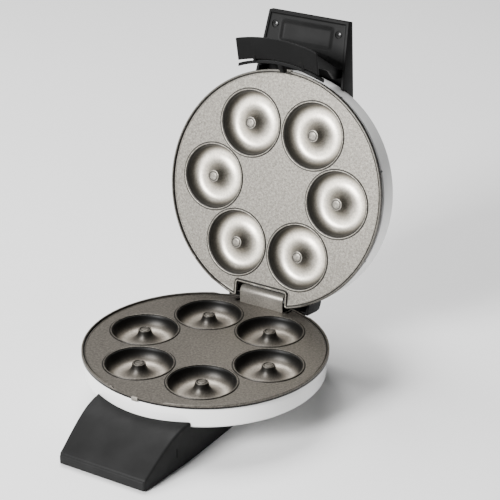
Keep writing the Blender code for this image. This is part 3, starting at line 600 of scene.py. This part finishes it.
def inset_place(point, normal, inset, notch_y):
    """Outline point moved inwards, meeting its neighbours where a corner is tighter."""
    place = point - normal * inset
    wall, radius = NOTCH_HALF_WIDTH + inset, PLATE_RADIUS - inset
    past = abs(place.x) < wall - EPSILON or place.length > radius + EPSILON
    if inset > NOTCH_OUTER_CORNER and past and place.y > notch_y + NOTCH_INNER_CORNER + EPSILON:
        return Vector((math.copysign(wall, place.x), math.sqrt(radius ** 2 - wall ** 2)))
    return place


def rim_height(point, z, plain_notch):
    """Rim heights, lowered behind the hinge line so the rims can swing past each other."""
    if plain_notch and abs(point.x) < NOTCH_HALF_WIDTH and z > FACE - 0.5 * MM:
        return FACE
    share = min(1, max(0, (point.y - RELIEF_START) / (RELIEF_END - RELIEF_START)))
    keep = 1 - share * (1 - RELIEF_KEEP)
    return FACE + (z - FACE) * keep if z > FACE else z


def cavity_profile():
    """Cavity from the flat face over its bead and down round the nub to the centre."""
    bead = scaled([(33.95, -2.0), (33.8, -2.0), (33.75, -2.35), (33.0, -2.4), (32.9, -1.95),
                   (32.7, -1.45), (32.4, -1.3), (31.9, -1.3), (31.6, -1.45), (31.5, -1.9),
                   (31.35, -2.4), (30.8, -2.5), (30.55, -2.8)])
    middle = (CAVITY_RADIUS + NUB_RADIUS) / 2
    half_width = (CAVITY_RADIUS - NUB_RADIUS) / 2
    bowl = []
    steps = 26
    for step in range(1, steps):
        angle = math.pi * (0.04 + 0.9 * step / steps)
        bowl.append((middle + half_width * math.cos(angle) + CAVITY_SKEW * math.sin(angle) ** 2,
                     FACE - CAVITY_DEPTH * math.sin(angle)))
    nub = scaled([(6.2, -2.9), (6.1, -2.2), (5.85, -1.8), (5.6, -1.65), (4.95, -1.65), (4.8, -1.8),
                  (4.75, -2.3), (3.95, -2.3), (3.9, -1.8), (3.7, -1.65), (1.8, -1.62)])
    return bead + bowl + nub


def stitched(edit, rings):
    """Join neighbouring rings of vertices with faces."""
    for outer, inner in zip(rings, rings[1:]):
        for index in range(len(outer)):
            follow = (index + 1) % len(outer)
            edit.faces.new((outer[index], outer[follow], inner[follow], inner[index]))


def add_rim(edit, notch_y, plain_notch):
    """Make the rim, and give its innermost ring of vertices."""
    outline = plate_outline(notch_y)
    rings = []
    for inset, height in RIM_PROFILE:
        ring = []
        for point, normal in outline:
            place = inset_place(point, normal, inset, notch_y)
            ring.append(edit.verts.new((*place, rim_height(place, height, plain_notch))))
        rings.append(ring)
    stitched(edit, rings)
    return rings[-1]


def add_cavity(edit, centre):
    """Make one ring cavity, and give its outermost ring of vertices."""
    turns = [2 * math.pi * step / CAVITY_TURNS for step in range(CAVITY_TURNS)]
    rings = [[edit.verts.new((centre.x + radius * math.sin(a), centre.y + radius * math.cos(a),
                              height)) for a in turns]
             for radius, height in cavity_profile()]
    stitched(edit, rings)
    last = rings[-1]
    top = edit.verts.new((*centre, last[0].co.z))
    for index in range(CAVITY_TURNS):
        edit.faces.new((last[index], top, last[(index + 1) % CAVITY_TURNS]))
    return rings[0]


def fill_face(edit, loops):
    """Fill the flat face between the rim, which is the first loop, and the cavities."""
    flat = [vert for loop in loops for vert in loop]
    owner = [number for number, loop in enumerate(loops) for _ in loop]
    edges = []
    for loop in loops:
        start = len(edges)
        edges += [(start + index, start + (index + 1) % len(loop)) for index in range(len(loop))]
    filled = delaunay_2d_cdt([vert.co.xy for vert in flat], edges, [], 1, 1e-7)
    triangles, origins = filled[2], filled[3]
    for triangle in triangles:
        corners = [origins[index][0] for index in triangle]
        owners = {owner[index] for index in corners}
        if len(owners) > 1 or 0 in owners:
            edit.faces.new([flat[index] for index in corners])


def plate_surface(notch_y, plain_notch):
    """The plate's cooking side: rim, flat face and ring cavities, as one sheet."""
    edit = bmesh.new()
    loops = [add_rim(edit, notch_y, plain_notch)]
    loops += [add_cavity(edit, centre) for centre in CAVITY_CENTRES]
    fill_face(edit, loops)
    bmesh.ops.remove_doubles(edit, verts=edit.verts, dist=EPSILON)
    bmesh.ops.recalc_face_normals(edit, faces=edit.faces)
    upward = sum(face.normal.z * face.calc_area() for face in edit.faces)
    if upward < 0:
        bmesh.ops.reverse_faces(edit, faces=edit.faces)
    mesh = bpy.data.meshes.new("shape")
    edit.to_mesh(mesh)
    edit.free()
    return mesh


def plate(notch_y, plain_notch=False):
    """A plate with an even wall below its cooking side."""
    surface = plate_surface(notch_y, plain_notch)
    return modified(surface, "SOLIDIFY", thickness=PLATE_WALL, offset=-1)


def splash_tab():
    """Upright tab at the rear of the lower plate, curled over the hinge barrel."""
    outer, inner, foot = 5.9 * MM, 4.5 * MM, -3.2 * MM
    curl = 75                     # degrees above the hinge axis, where the curl ends
    turn = math.radians(curl)
    lip = AXIS + Vector((math.cos(turn), math.sin(turn))) * (outer + inner) / 2
    outline = [(AXIS.x - outer, foot)] + arc(AXIS, outer, 180, curl, 18)
    outline += arc(lip, (outer - inner) / 2, curl, curl - 180, 5)[1:-1]
    outline += arc(AXIS, inner, curl, 180, 18)
    outline.append((AXIS.x - inner, foot))
    return rounded(prism_x(outline, -24 * MM, 24 * MM), 0.35 * MM, 2, 50)


def front_lug(sign):
    """Small lug on a plate's front edge, which the latch hooks on the lower plate."""
    lug = box((-3.25 * MM, 3.25 * MM), (-115.8 * MM, -113.5 * MM), (-5.2 * MM, -1.2 * MM))
    lug = rounded(lug, 0.4 * MM, 3)
    return lug if sign > 0 else flipped(lug)


def shade_nubs(piece, *coat):
    """Give the cavities' floors inside their deepest line a lighter painted shade."""
    piece.data.materials.append(coat_with_painted_light(piece.name + "_nubs", *coat, 1.0, NUB_SLOPE_SHADES, NUB_DEPTH_SHADES))
    for face in piece.data.polygons:
        if min((face.center.xy - centre).length for centre in CAVITY_CENTRES) < DEEPEST_RADIUS:
            face.material_index = 1


def add_plates():
    """Both cast plates with their tabs and lugs."""
    lower = add_piece("lower_plate_fine", plate(LOWER_NOTCH_Y, True), "base", "lower_coating",
                      "lower_plate", sharp=45)
    upper = add_piece("upper_plate_fine", flipped(plate(UPPER_NOTCH_Y)), "lid", "upper_coating",
                      "upper_plate", sharp=45)
    shade_nubs(lower, *SHADED_LOWER_COAT)
    shade_nubs(upper, *UPPER_COAT)
    plain = plain_coating()
    for name, mesh, body, slot, node in (
            ("hinge_splash_tab", splash_tab(), "base", "lower_coating", "lower_plate"),
            ("lower_front_lug", front_lug(1), "base", "lower_coating", "lower_plate"),
            ("upper_front_lug", front_lug(-1), "lid", "upper_coating", "upper_plate")):
        add_piece(name, mesh, body, slot, node).data.materials[0] = plain


# ------------------------------------------------------------------------- casings

HOUSING_BOTTOM = -24.4 * MM
LID_RADIUS = 113.3 * MM
LID_EDGE = 10.7 * MM
LID_TOP = 31.3 * MM
WALL = 2.2 * MM
CASING_TURNS = 256
BEYOND_REAR = 130 * MM
TOWER_SLOT_HALF_WIDTH = 12.9 * MM
PLATE_SCREW_RADIUS = 94 * MM      # where the plates' screws stand
PLATE_SCREW_ANGLES = (60, 120, 240, 300)
VENT_ANGLES = (29, 70, 115.5)     # degrees from the front, on both sides


def rear_notch(half_width, front, low, high):
    """Block that opens a shell's rear for the hinge."""
    return box((-half_width, half_width), (front, BEYOND_REAR), (low, high))


def lid_notch():
    """The hinge's opening in the lid's shell and ring."""
    return rear_notch(NOTCH_HALF_WIDTH, 98 * MM, 0, 23.5 * MM)


def lower_casing():
    """White lower shell: draft, rounded foot and a slot for the hinge tower."""
    top, bottom, fillet = -REVEAL, HOUSING_BOTTOM, 3.4 * MM
    radius = HOUSING_RADIUS
    outside = [(radius - 0.5 * MM, top), (radius - 0.15 * MM, top - 0.12 * MM),
               (radius, top - 0.5 * MM), (radius, -12 * MM)]
    outside += arc((radius - 0.2 * MM - fillet, bottom + fillet), fillet, 0, -90, 8)
    inner = radius - WALL
    inside = [(inner, top), (inner, bottom + fillet), (inner - 1.5 * MM, bottom + WALL)]
    profile = outside + [(0, bottom), (0, bottom + WALL)] + inside[::-1]
    slot = rear_notch(TOWER_SLOT_HALF_WIDTH, LOWER_NOTCH_Y, -40 * MM, 5 * MM)
    swing = rear_notch(NOTCH_HALF_WIDTH, 98 * MM, -9 * MM, 5 * MM)
    places = [polar(PLATE_SCREW_RADIUS, math.radians(angle)) for angle in PLATE_SCREW_ANGLES]
    screw_ports = [rod((x, y, -30 * MM), (x, y, -14.6 * MM), 3.1 * MM) for x, y in places]
    return cut(turned(profile, CASING_TURNS), slot, swing, joined(screw_ports))


def lid_casing():
    """White lid shell with small half-round openings along its edge."""
    fillet = 3.2 * MM
    outside = [(LID_RADIUS - 0.6 * MM, LID_EDGE), (LID_RADIUS - 0.15 * MM, LID_EDGE + 0.15 * MM),
               (LID_RADIUS, LID_EDGE + 0.6 * MM), (LID_RADIUS, 20 * MM)]
    outside += arc((LID_RADIUS - fillet, LID_TOP - fillet), fillet, 0, 90, 8)
    inner = LID_RADIUS - WALL
    inside = [(inner, LID_EDGE), (inner, LID_TOP - fillet), (inner - 1.5 * MM, LID_TOP - WALL)]
    profile = outside + [(0, LID_TOP), (0, LID_TOP - WALL)] + inside[::-1]
    vents = []
    for angle in VENT_ANGLES:
        for side in (-1, 1):
            turn = math.radians(180 + side * angle)
            start = (*polar(105 * MM, turn), LID_EDGE)
            end = (*polar(120 * MM, turn), LID_EDGE)
            vents.append(rod(start, end, 1.3 * MM, 20))
    return cut(turned(profile, CASING_TURNS), lid_notch(), joined(vents))


def bezel_ring():
    """Dark carrier ring in the reveal under the lid shell's edge."""
    profile = scaled([(110.3, 4.6), (110.3, 15), (108.9, 15), (108.9, 4.6)])
    return cut(turned(profile), lid_notch())


def add_casings():
    """White shells and the dark ring."""
    add_piece("lower_housing_fine", lower_casing(), "base", "white_casing", "lower_housing")
    add_piece("lid_housing_fine", lid_casing(), "lid", "white_casing", "lid_housing")
    add_piece("lid_bezel_fine", bezel_ring(), "lid", "dark_bezel", "lid_bezel_ring")


# --------------------------------------------------------------------------- stand

STAND_WALL = 2.5 * MM
STAND_BOTTOM = FLOOR + 1.4 * MM
# Stations of the stand in millimetres: (y, half width, top height), lip first
STAND_STATIONS = [(-167.6, 45.4, -46.7), (-161.0, 45.9, -43.1), (-149.5, 46.7, -35.7),
                  (-134.6, 47.8, -27.1), (-120.8, 48.8, -21.2), (-103.5, 49.9, -18.1),
                  (-80.0, 50.2, -17.5), (0.0, 50.2, -26.0), (127.0, 50.2, -26.0)]
STAND_EDGE = 2.2 * MM
STAND_INNER_EDGE = 1 * MM
STAND_NOSE = 2.5 * MM             # rounding of the lip
NOSE_STEPS = 6
STOP_PAD_FRONT = 113.9 * MM
STOP_PAD_REAR = 126.5 * MM
PAD_FOOT = -28 * MM               # inside the stand's wall
INLET_Z = -42 * MM

# Hinge
KNUCKLE_RADIUS = 4 * MM
PIN_HOLE_RADIUS = 2.15 * MM
TOWER_HALF_WIDTH = 12.5 * MM
HINGE_ARM_INNER_X = 12.9 * MM
HINGE_ARM_OUTER_X = 22.9 * MM


def stand_section(y, half_width, top, bottom, edge):
    """Section across the stand with rounded upper corners."""
    right = arc((half_width - edge, top - edge), edge, 0, 90, 6)
    left = [(-x, z) for x, z in reversed(right)]
    outline = [(half_width, bottom)] + right + left + [(-half_width, bottom)]
    return [(x, y, z) for x, z in outline]


def casing_seat(clearance):
    """Round seat of the lower shell in the stand's top."""
    return rod((0, 0, HOUSING_BOTTOM - clearance), (0, 0, 20 * MM), HOUSING_RADIUS + clearance,
               CASING_TURNS)


def stand_nose(y, half_width, top):
    """Sections that round the stand's lip."""
    sections = []
    for step in range(NOSE_STEPS):
        turn = math.pi / 2 * step / NOSE_STEPS
        reach = STAND_NOSE * (1 - math.cos(turn))
        shrink = STAND_NOSE * (1 - math.sin(turn)) * 0.8
        sections.append(stand_section(y + reach, half_width - shrink, top - shrink, STAND_BOTTOM,
                                      STAND_EDGE))
    return sections


def stand_solid():
    """The stand's outer form."""
    line = smooth_line(scaled(STAND_STATIONS), 8)
    behind_nose = line[0][0] + STAND_NOSE
    sections = stand_nose(*line[0])
    sections += [stand_section(*station, STAND_BOTTOM, STAND_EDGE)
                 for station in line if station[0] >= behind_nose]
    return cut(loft(sections), casing_seat(GAP))


def stand_space():
    """The stand's inner space, a wall inside its outer form and open below."""
    line = smooth_line(scaled(STAND_STATIONS), 8)
    front, rear = line[0][0] + STAND_WALL, line[-1][0] - STAND_WALL
    stations = [(front, *line[0][1:])]
    stations += [station for station in line if front <= station[0] <= rear]
    stations.append((rear, *line[-1][1:]))
    sections = [stand_section(y, half_width - STAND_WALL, top - STAND_WALL,
                              STAND_BOTTOM - 5 * MM, STAND_INNER_EDGE)
                for y, half_width, top in stations]
    return cut(loft(sections), casing_seat(GAP + STAND_WALL))


def stop_pad():
    """Rear pad that the lid's band leans on when fully open."""
    low_y, low_z = opened(117.8 * MM, 19 * MM)
    high_y, high_z = opened(116.7 * MM, 36.5 * MM)
    slope = (high_z - low_z) / (high_y - low_y)
    outline = [(STOP_PAD_FRONT, PAD_FOOT), (STOP_PAD_REAR, PAD_FOOT)]
    outline += [(y, low_z + slope * (y - low_y) - GAP) for y in (STOP_PAD_REAR, STOP_PAD_FRONT)]
    return rounded(prism_x(outline, -30 * MM, 30 * MM), 1 * MM)


def hinge_tower():
    """Upright behind the splash tab that carries the centre knuckle."""
    outline = scaled([(101.6, -28), (101.6, 7)])
    outline += arc(AXIS, KNUCKLE_RADIUS, 180, 0, 24)
    outline += scaled([(109.2, 1), (111.4, -8), (111.4, -28)])
    return prism_x(outline, -TOWER_HALF_WIDTH, TOWER_HALF_WIDTH)


def hinge_bore():
    """Hole for the hinge pin."""
    return rod((-40 * MM, *AXIS), (40 * MM, *AXIS), PIN_HOLE_RADIUS)


def stand_side_marks():
    """Shallow slit and pin mark on each side wall."""
    pin_place = (-136.5 * MM, -47.7 * MM)
    marks = []
    for side in (-1, 1):
        near, far = sorted((side * 47.6 * MM, side * 51 * MM))
        marks.append(box((near, far), (-122.2 * MM, -121.3 * MM), (-44.4 * MM, -35.2 * MM)))
        marks.append(rod((near, *pin_place), (far, *pin_place), 0.7 * MM, 16))
    return joined(marks)


def stand():
    """Hollow wedge stand with its stop pad and hinge tower."""
    shell = cut(stand_solid(), stand_space(), stand_side_marks())
    inlet = rod((0, 120 * MM, INLET_Z), (0, BEYOND_REAR, INLET_Z), 5.3 * MM)
    body = fused(shell, stop_pad(), hinge_tower())
    return cut(body, hinge_bore(), inlet)


def add_stand():
    """The stand."""
    piece = add_piece("stand_fine", stand(), "base", "black_moulding", "base_stand")
    # The stand's black is lighter than the band's moulding: painted reflection for the sheen on
    # its front
    piece.data.materials[0] = moulded_black("stand_black_painted_reflection", 0.011)


# -------------------------------------------------------- lid band and handle cover

BAND_PLAN = [(42.9, -171.0), (43.3, -166.5), (48.9, -96.0), (45.0, 60.0), (45.0, 125.0)]
BAND_WALL = 2.5 * MM
BAND_FRONT = [(-167.1, 35.6), (-151.8, 38.0), (-124.2, 42.4), (-96.1, 46.7)]
BAND_REAR = [(109.2, 44.5), (114.9, 42.9), (116.7, 36.5), (117.8, 19.0)]
BAND_UNDER = [(80.0, 19.0), (80.0, 31.9), (-95.0, 31.9), (-95.0, 23.5), (-166.4, 28.0)]
BAND_INSIDE = [(-164.3, 10.0), (-164.3, 33.5), (-151.4, 35.5), (-124.0, 39.9), (-95.9, 44.2),
               (108.8, 42.0), (113.2, 40.8), (114.4, 36.0), (115.2, 10.0)]
BAND_REACH = 60 * MM              # beyond the band's sides
COVER_SCREW = (34.5 * MM, -153.6 * MM)
COVER_FRONT = -163.7 * MM
COVER_REAR = -118 * MM
COVER_LOW = 28.4 * MM             # height of the cover's face at its front
COVER_RISE = (25.6 - 28.4) / (163.7 - 118)
COVER_THICK = 2.6 * MM
PILOT_RADIUS = 1.7 * MM
LAMPS = [(-10 * MM, -62 * MM), (10 * MM, -62 * MM)]


def hinge_arm(side):
    """Web from the band's rear wall down to a lid knuckle."""
    outline = arc(AXIS, KNUCKLE_RADIUS, 40, 310, 36)
    outline += scaled([(117.2, 19.3), (116.6, 22.8), (113.6, 22.8)])
    return prism_x(outline, side * HINGE_ARM_INNER_X, side * HINGE_ARM_OUTER_X)


def band_plan(inset):
    """Block with the band's outline seen from above, drawn in by an inset."""
    right = [(x * MM - inset, y * MM) for x, y in BAND_PLAN]
    return prism_z(right + [(-x, y) for x, y in reversed(right)], -20 * MM, 80 * MM)


def band():
    """Hollow band over the lid, ending in the handle."""
    outline = smooth_line(BAND_FRONT, 6) + BAND_REAR + BAND_UNDER
    outer = prism_x(scaled(outline), -BAND_REACH, BAND_REACH)
    outer = rounded(boolean(outer, band_plan(0), "INTERSECT"), 0.9 * MM, 3, 40)
    inner = prism_x(scaled(BAND_INSIDE), -BAND_REACH, BAND_REACH)
    inner = boolean(inner, band_plan(BAND_WALL), "INTERSECT")
    lid = rod((0, 0, -10 * MM), (0, 0, LID_TOP + GAP), LID_RADIUS + GAP, CASING_TURNS)
    shell = cut(outer, inner, lid)
    lens_holes = [rod((x, y, 40 * MM), (x, y, 70 * MM), 3.2 * MM) for x, y in LAMPS]
    bosses = [rod((side * 42.3 * MM, *PIVOT), (side * 46 * MM, *PIVOT), 3.3 * MM)
              for side in (-1, 1)]
    body = fused(shell, joined(bosses), hinge_arm(-1), hinge_arm(1))
    return cut(body, joined(lens_holes), hinge_bore())


def soft_step(value, start, end):
    """Smooth 0 to 1 step."""
    t = min(1, max(0, (value - start) / (end - start)))
    return t * t * (3 - 2 * t)


def cover_half_width(y):
    """Half width of the handle cover, which follows the band's flare."""
    (first, start), (second, end) = BAND_PLAN[1:3]
    share = (y / MM - start) / (end - start)
    return (first + (second - first) * share) * MM - BAND_WALL - 0.35 * MM


def cover_relief(x, y):
    """Height of the cover's face: a low border and a soft rectangular recess."""
    edge = min(cover_half_width(y) - abs(x), y - COVER_FRONT, COVER_REAR - y)
    border = 0.5 * MM * (1 - soft_step(edge, 0, 0.9 * MM))
    recess = soft_step(27.5 * MM - abs(x), -2 * MM, 3 * MM)
    recess *= soft_step(y, -160.5 * MM, -155 * MM) * (1 - soft_step(y, -142 * MM, -136.5 * MM))
    return border + 1.6 * MM * recess


def cover_section(y, columns=120):
    """Section across the handle cover, its face drawn in fine steps."""
    low = COVER_LOW + COVER_RISE * (y - COVER_FRONT)
    places = [cover_half_width(y) * (2 * column / columns - 1) for column in range(columns + 1)]
    face = [(x, y, low + cover_relief(x, y)) for x in places]
    return face + [(x, y, low + COVER_THICK) for x in reversed(places)]


def handle_cover():
    """Underside cover of the handle."""
    rows = 66
    slab = loft([cover_section(COVER_FRONT + (COVER_REAR - COVER_FRONT) * row / rows)
                 for row in range(rows + 1)])
    latch_clearance = rod((0, 0, 0), (0, 0, 50 * MM), 135 * MM, CASING_TURNS)
    cover_x, y = COVER_SCREW
    sinks = [rod((x, y, 20 * MM), (x, y, 28.9 * MM), 3.9 * MM) for x in (-cover_x, cover_x)]
    holes = [rod((x, y, 20 * MM), (x, y, 40 * MM), PILOT_RADIUS) for x in (-cover_x, cover_x)]
    return cut(slab, latch_clearance, joined(sinks), joined(holes))


def cross_screw(x, y, level):
    """Domed screw head facing down, with a cross recess, on a short shank."""
    head, dome, thick = 2.6 * MM, 0.5 * MM, 0.7 * MM
    shank, tip = 1.4 * MM, 33.5 * MM
    profile = [(0, level - dome)]
    profile += [(head * math.sin(a), level - dome * math.cos(a) ** 2)
                for a in [math.pi / 2 * step / 6 for step in range(1, 7)]]
    profile += [(head, level + thick), (shank, level + thick), (shank, tip), (0, tip)]
    slots = [box((x - along, x + along), (y - across, y + across),
                 (level - 2 * MM, level + 0.5 * MM))
             for along, across in ((1.5 * MM, 0.32 * MM), (0.32 * MM, 1.5 * MM))]
    return cut(turned(profile, 40, (x, y)), *slots)


def lamp_lens(x, y):
    """Low domed lamp lens."""
    profile = scaled([(0, 41.2), (3, 41.2), (3, 46.3), (2.8, 46.7), (2.3, 47.05), (1.2, 47.3),
                      (0, 47.4)])
    return turned(profile, 40, (x, y))


def add_band():
    """Band, handle cover, its screws and the lamp lenses."""
    add_piece("lid_band_fine", band(), "lid", "black_moulding", "lid_band")
    add_piece("handle_cover_fine", handle_cover(), "lid", "black_trim", "handle_cover")
    for number, side in enumerate((-1, 1), 1):
        add_piece(f"handle_screw_fine_{number}",
                  cross_screw(side * COVER_SCREW[0], COVER_SCREW[1], 28.1 * MM), "lid",
                  "black_steel", f"handle_screw_{number}")
    add_piece("power_lens_fine", lamp_lens(*LAMPS[0]), "lid", "red_lens", "power_lamp_lens")
    add_piece("ready_lens_fine", lamp_lens(*LAMPS[1]), "lid", "green_lens", "ready_lamp_lens")


# --------------------------------------------------------------------------- latch

ARM_INNER_X = 38.6 * MM
ARM_OUTER_X = 41.9 * MM


def tab_section(x):
    """Section of the curved finger tab at one distance from the middle."""
    near = Vector((25.5 * MM - math.sqrt((151 * MM) ** 2 - x * x), -18.5 * MM))
    free = Vector((27 * MM - math.sqrt((173.1 * MM) ** 2 - x * x), -28.4 * MM))
    along = (free - near).normalized()
    across = Vector((along.y, -along.x))
    half = 0.9 * MM
    angles = [math.pi * step / 6 for step in range(7)]
    outline = [free - along * half + half * (math.sin(a) * along + math.cos(a) * across)
               for a in angles]
    outline += [near + along * half - half * (math.sin(a) * along + math.cos(a) * across)
                for a in angles]
    return [(x, point.x, point.y) for point in outline]


def rib_section(x, low):
    """Section of the narrow rib behind the finger tab, down to a lower edge."""
    inner = -math.sqrt((121.6 * MM) ** 2 - x * x)
    outer = -math.sqrt((124.6 * MM) ** 2 - x * x)
    high, edge = -12 * MM, 0.4 * MM
    return [(x, inner, high), (x, inner, low + edge), (x, inner - edge, low),
            (x, outer + edge, low), (x, outer, low + edge), (x, outer, high)]


def rib():
    """Curved rib that tapers to thin ends."""
    places = smooth_line(scaled([(-46, -13.6), (-37, -16.6), (-28, -17.6), (0, -17.6),
                                 (28, -17.6), (37, -16.6), (46, -13.6)]), 8)
    return loft([rib_section(x, low) for x, low in places])


def latch_arm(side):
    """Side arm from the pivot eye to the finger tab."""
    outline = arc(PIVOT, 3.8 * MM, 0, 180, 16)
    outline += scaled([(-121.3, 26.0), (-130.0, 0.0), (-139.0, -27.4), (-126.5, -21.5),
                       (-121.8, 4.0), (-113.4, 17.0), (-113.4, 26.0)])
    return rounded(prism_x(outline, side * ARM_INNER_X, side * ARM_OUTER_X), 0.5 * MM, 2, 40)


def gusset(side):
    """Web that carries the rib from the finger tab."""
    outline = scaled([(-119.8, -13.5), (-119.8, -17.3), (-124.5, -20.6), (-127.0, -21.3),
                      (-127.0, -19.4), (-121.5, -13.5)])
    return prism_x(outline, side * 25 * MM, side * 27.5 * MM)


def hook():
    """Centre hook that reaches under the lower plate's front lug."""
    outline = scaled([(-123.2, -17.3), (-117.0, -13.0), (-114.1, -9.5), (-114.1, -5.55),
                      (-116.6, -5.55), (-119.0, -8.5), (-123.2, -12.4)])
    return rounded(prism_x(outline, -2.6 * MM, 2.6 * MM), 0.3 * MM, 2, 40)


def latch():
    """The whole moulded latch."""
    steps = 48
    reach = ARM_OUTER_X + 1.5 * MM
    tab = loft([tab_section(-reach + 2 * reach * step / steps) for step in range(steps + 1)])
    tab = rounded(tab, 0.6 * MM, 2, 60)
    eyes = rod((-60 * MM, *PIVOT), (60 * MM, *PIVOT), PILOT_RADIUS)
    body = fused(tab, latch_arm(-1), latch_arm(1), rib(), gusset(-1), gusset(1), hook())
    return cut(body, eyes)


def add_latch():
    """The latch."""
    piece = add_piece("latch_fine", latch(), "latch", "black_trim", "latch_clip")
    piece.data.materials[0] = moulded_black("latch_black", 0.003, 0.42)


# ------------------------------------------------------------- camera, floor, light


AZIMUTH = math.radians(31.306)
ELEVATION = math.radians(24.1)
ROLL = math.radians(0.359)
AIM = Vector((0.23627, 0.29237, 0.78387))    # from the plates' centre, in plate radii
CAMERA_DISTANCE = 13.856                     # in plate radii
LENS = 125.49                                # millimetres, for a sensor 36 mm wide


def add_camera():
    """Camera at the photograph's angle."""
    back = Vector((math.sin(AZIMUTH) * math.cos(ELEVATION),
                   -math.cos(AZIMUTH) * math.cos(ELEVATION), math.sin(ELEVATION)))
    right = (-back).cross(Vector((0, 0, 1))).normalized()
    up = right.cross(-back)
    right, up = (math.cos(ROLL) * right + math.sin(ROLL) * up,
                 math.cos(ROLL) * up - math.sin(ROLL) * right)
    place = Matrix((right, up, back)).transposed().to_4x4()
    place.translation = CENTRE + PLATE_RADIUS * (AIM + back * CAMERA_DISTANCE)
    data = bpy.data.cameras.new("camera")
    data.sensor_width = 36
    data.lens = LENS
    data.clip_end = 50
    camera = bpy.data.objects.new("camera", data)
    bpy.context.scene.collection.objects.link(camera)
    camera.matrix_world = place
    bpy.context.scene.camera = camera


def add_area_light(name, place, aim, size, power):
    """A soft rectangular light."""
    data = bpy.data.lights.new(name, "AREA")
    data.shape = "RECTANGLE"
    data.size, data.size_y = size
    data.energy = power
    light = bpy.data.objects.new(name, data)
    bpy.context.scene.collection.objects.link(light)
    light.location = place
    light.rotation_euler = (Vector(aim) - Vector(place)).to_track_quat("-Z", "Y").to_euler()


def add_floor():
    """Pale floor under the feet."""
    bpy.ops.mesh.primitive_grid_add(x_subdivisions=8, y_subdivisions=8, size=12)
    floor = bpy.context.active_object
    floor.name = "floor"
    look = Look("floor", (0.9, 0.9, 0.9), 0.55)
    look.color(look.ramp(look.noise(0.4), (0.3, 0.89), (0.7, 0.91)))
    floor.data.materials.append(look.material)


def add_lights():
    """Dim white surroundings and two soft lights."""
    world = bpy.data.worlds.new("studio")
    bpy.context.scene.world = world
    world.use_nodes = True
    background = world.node_tree.nodes["Background"]
    background.inputs["Color"].default_value = (1, 1, 1, 1)
    background.inputs["Strength"].default_value = 0.1
    middle = (0, 0.05, 0.15)
    add_area_light("front", (-0.5, -2.15, 1.15), middle, (0.8, 0.7), 140)
    add_area_light("top", (-0.9, 0.6, 2.5), middle, (1.6, 1.6), 110)


# ----------------------------------------------------------------------------- run

add_camera()
dress_cad_nodes()
add_plates()
add_casings()
add_stand()
add_band()
add_latch()
add_floor()
add_lights()
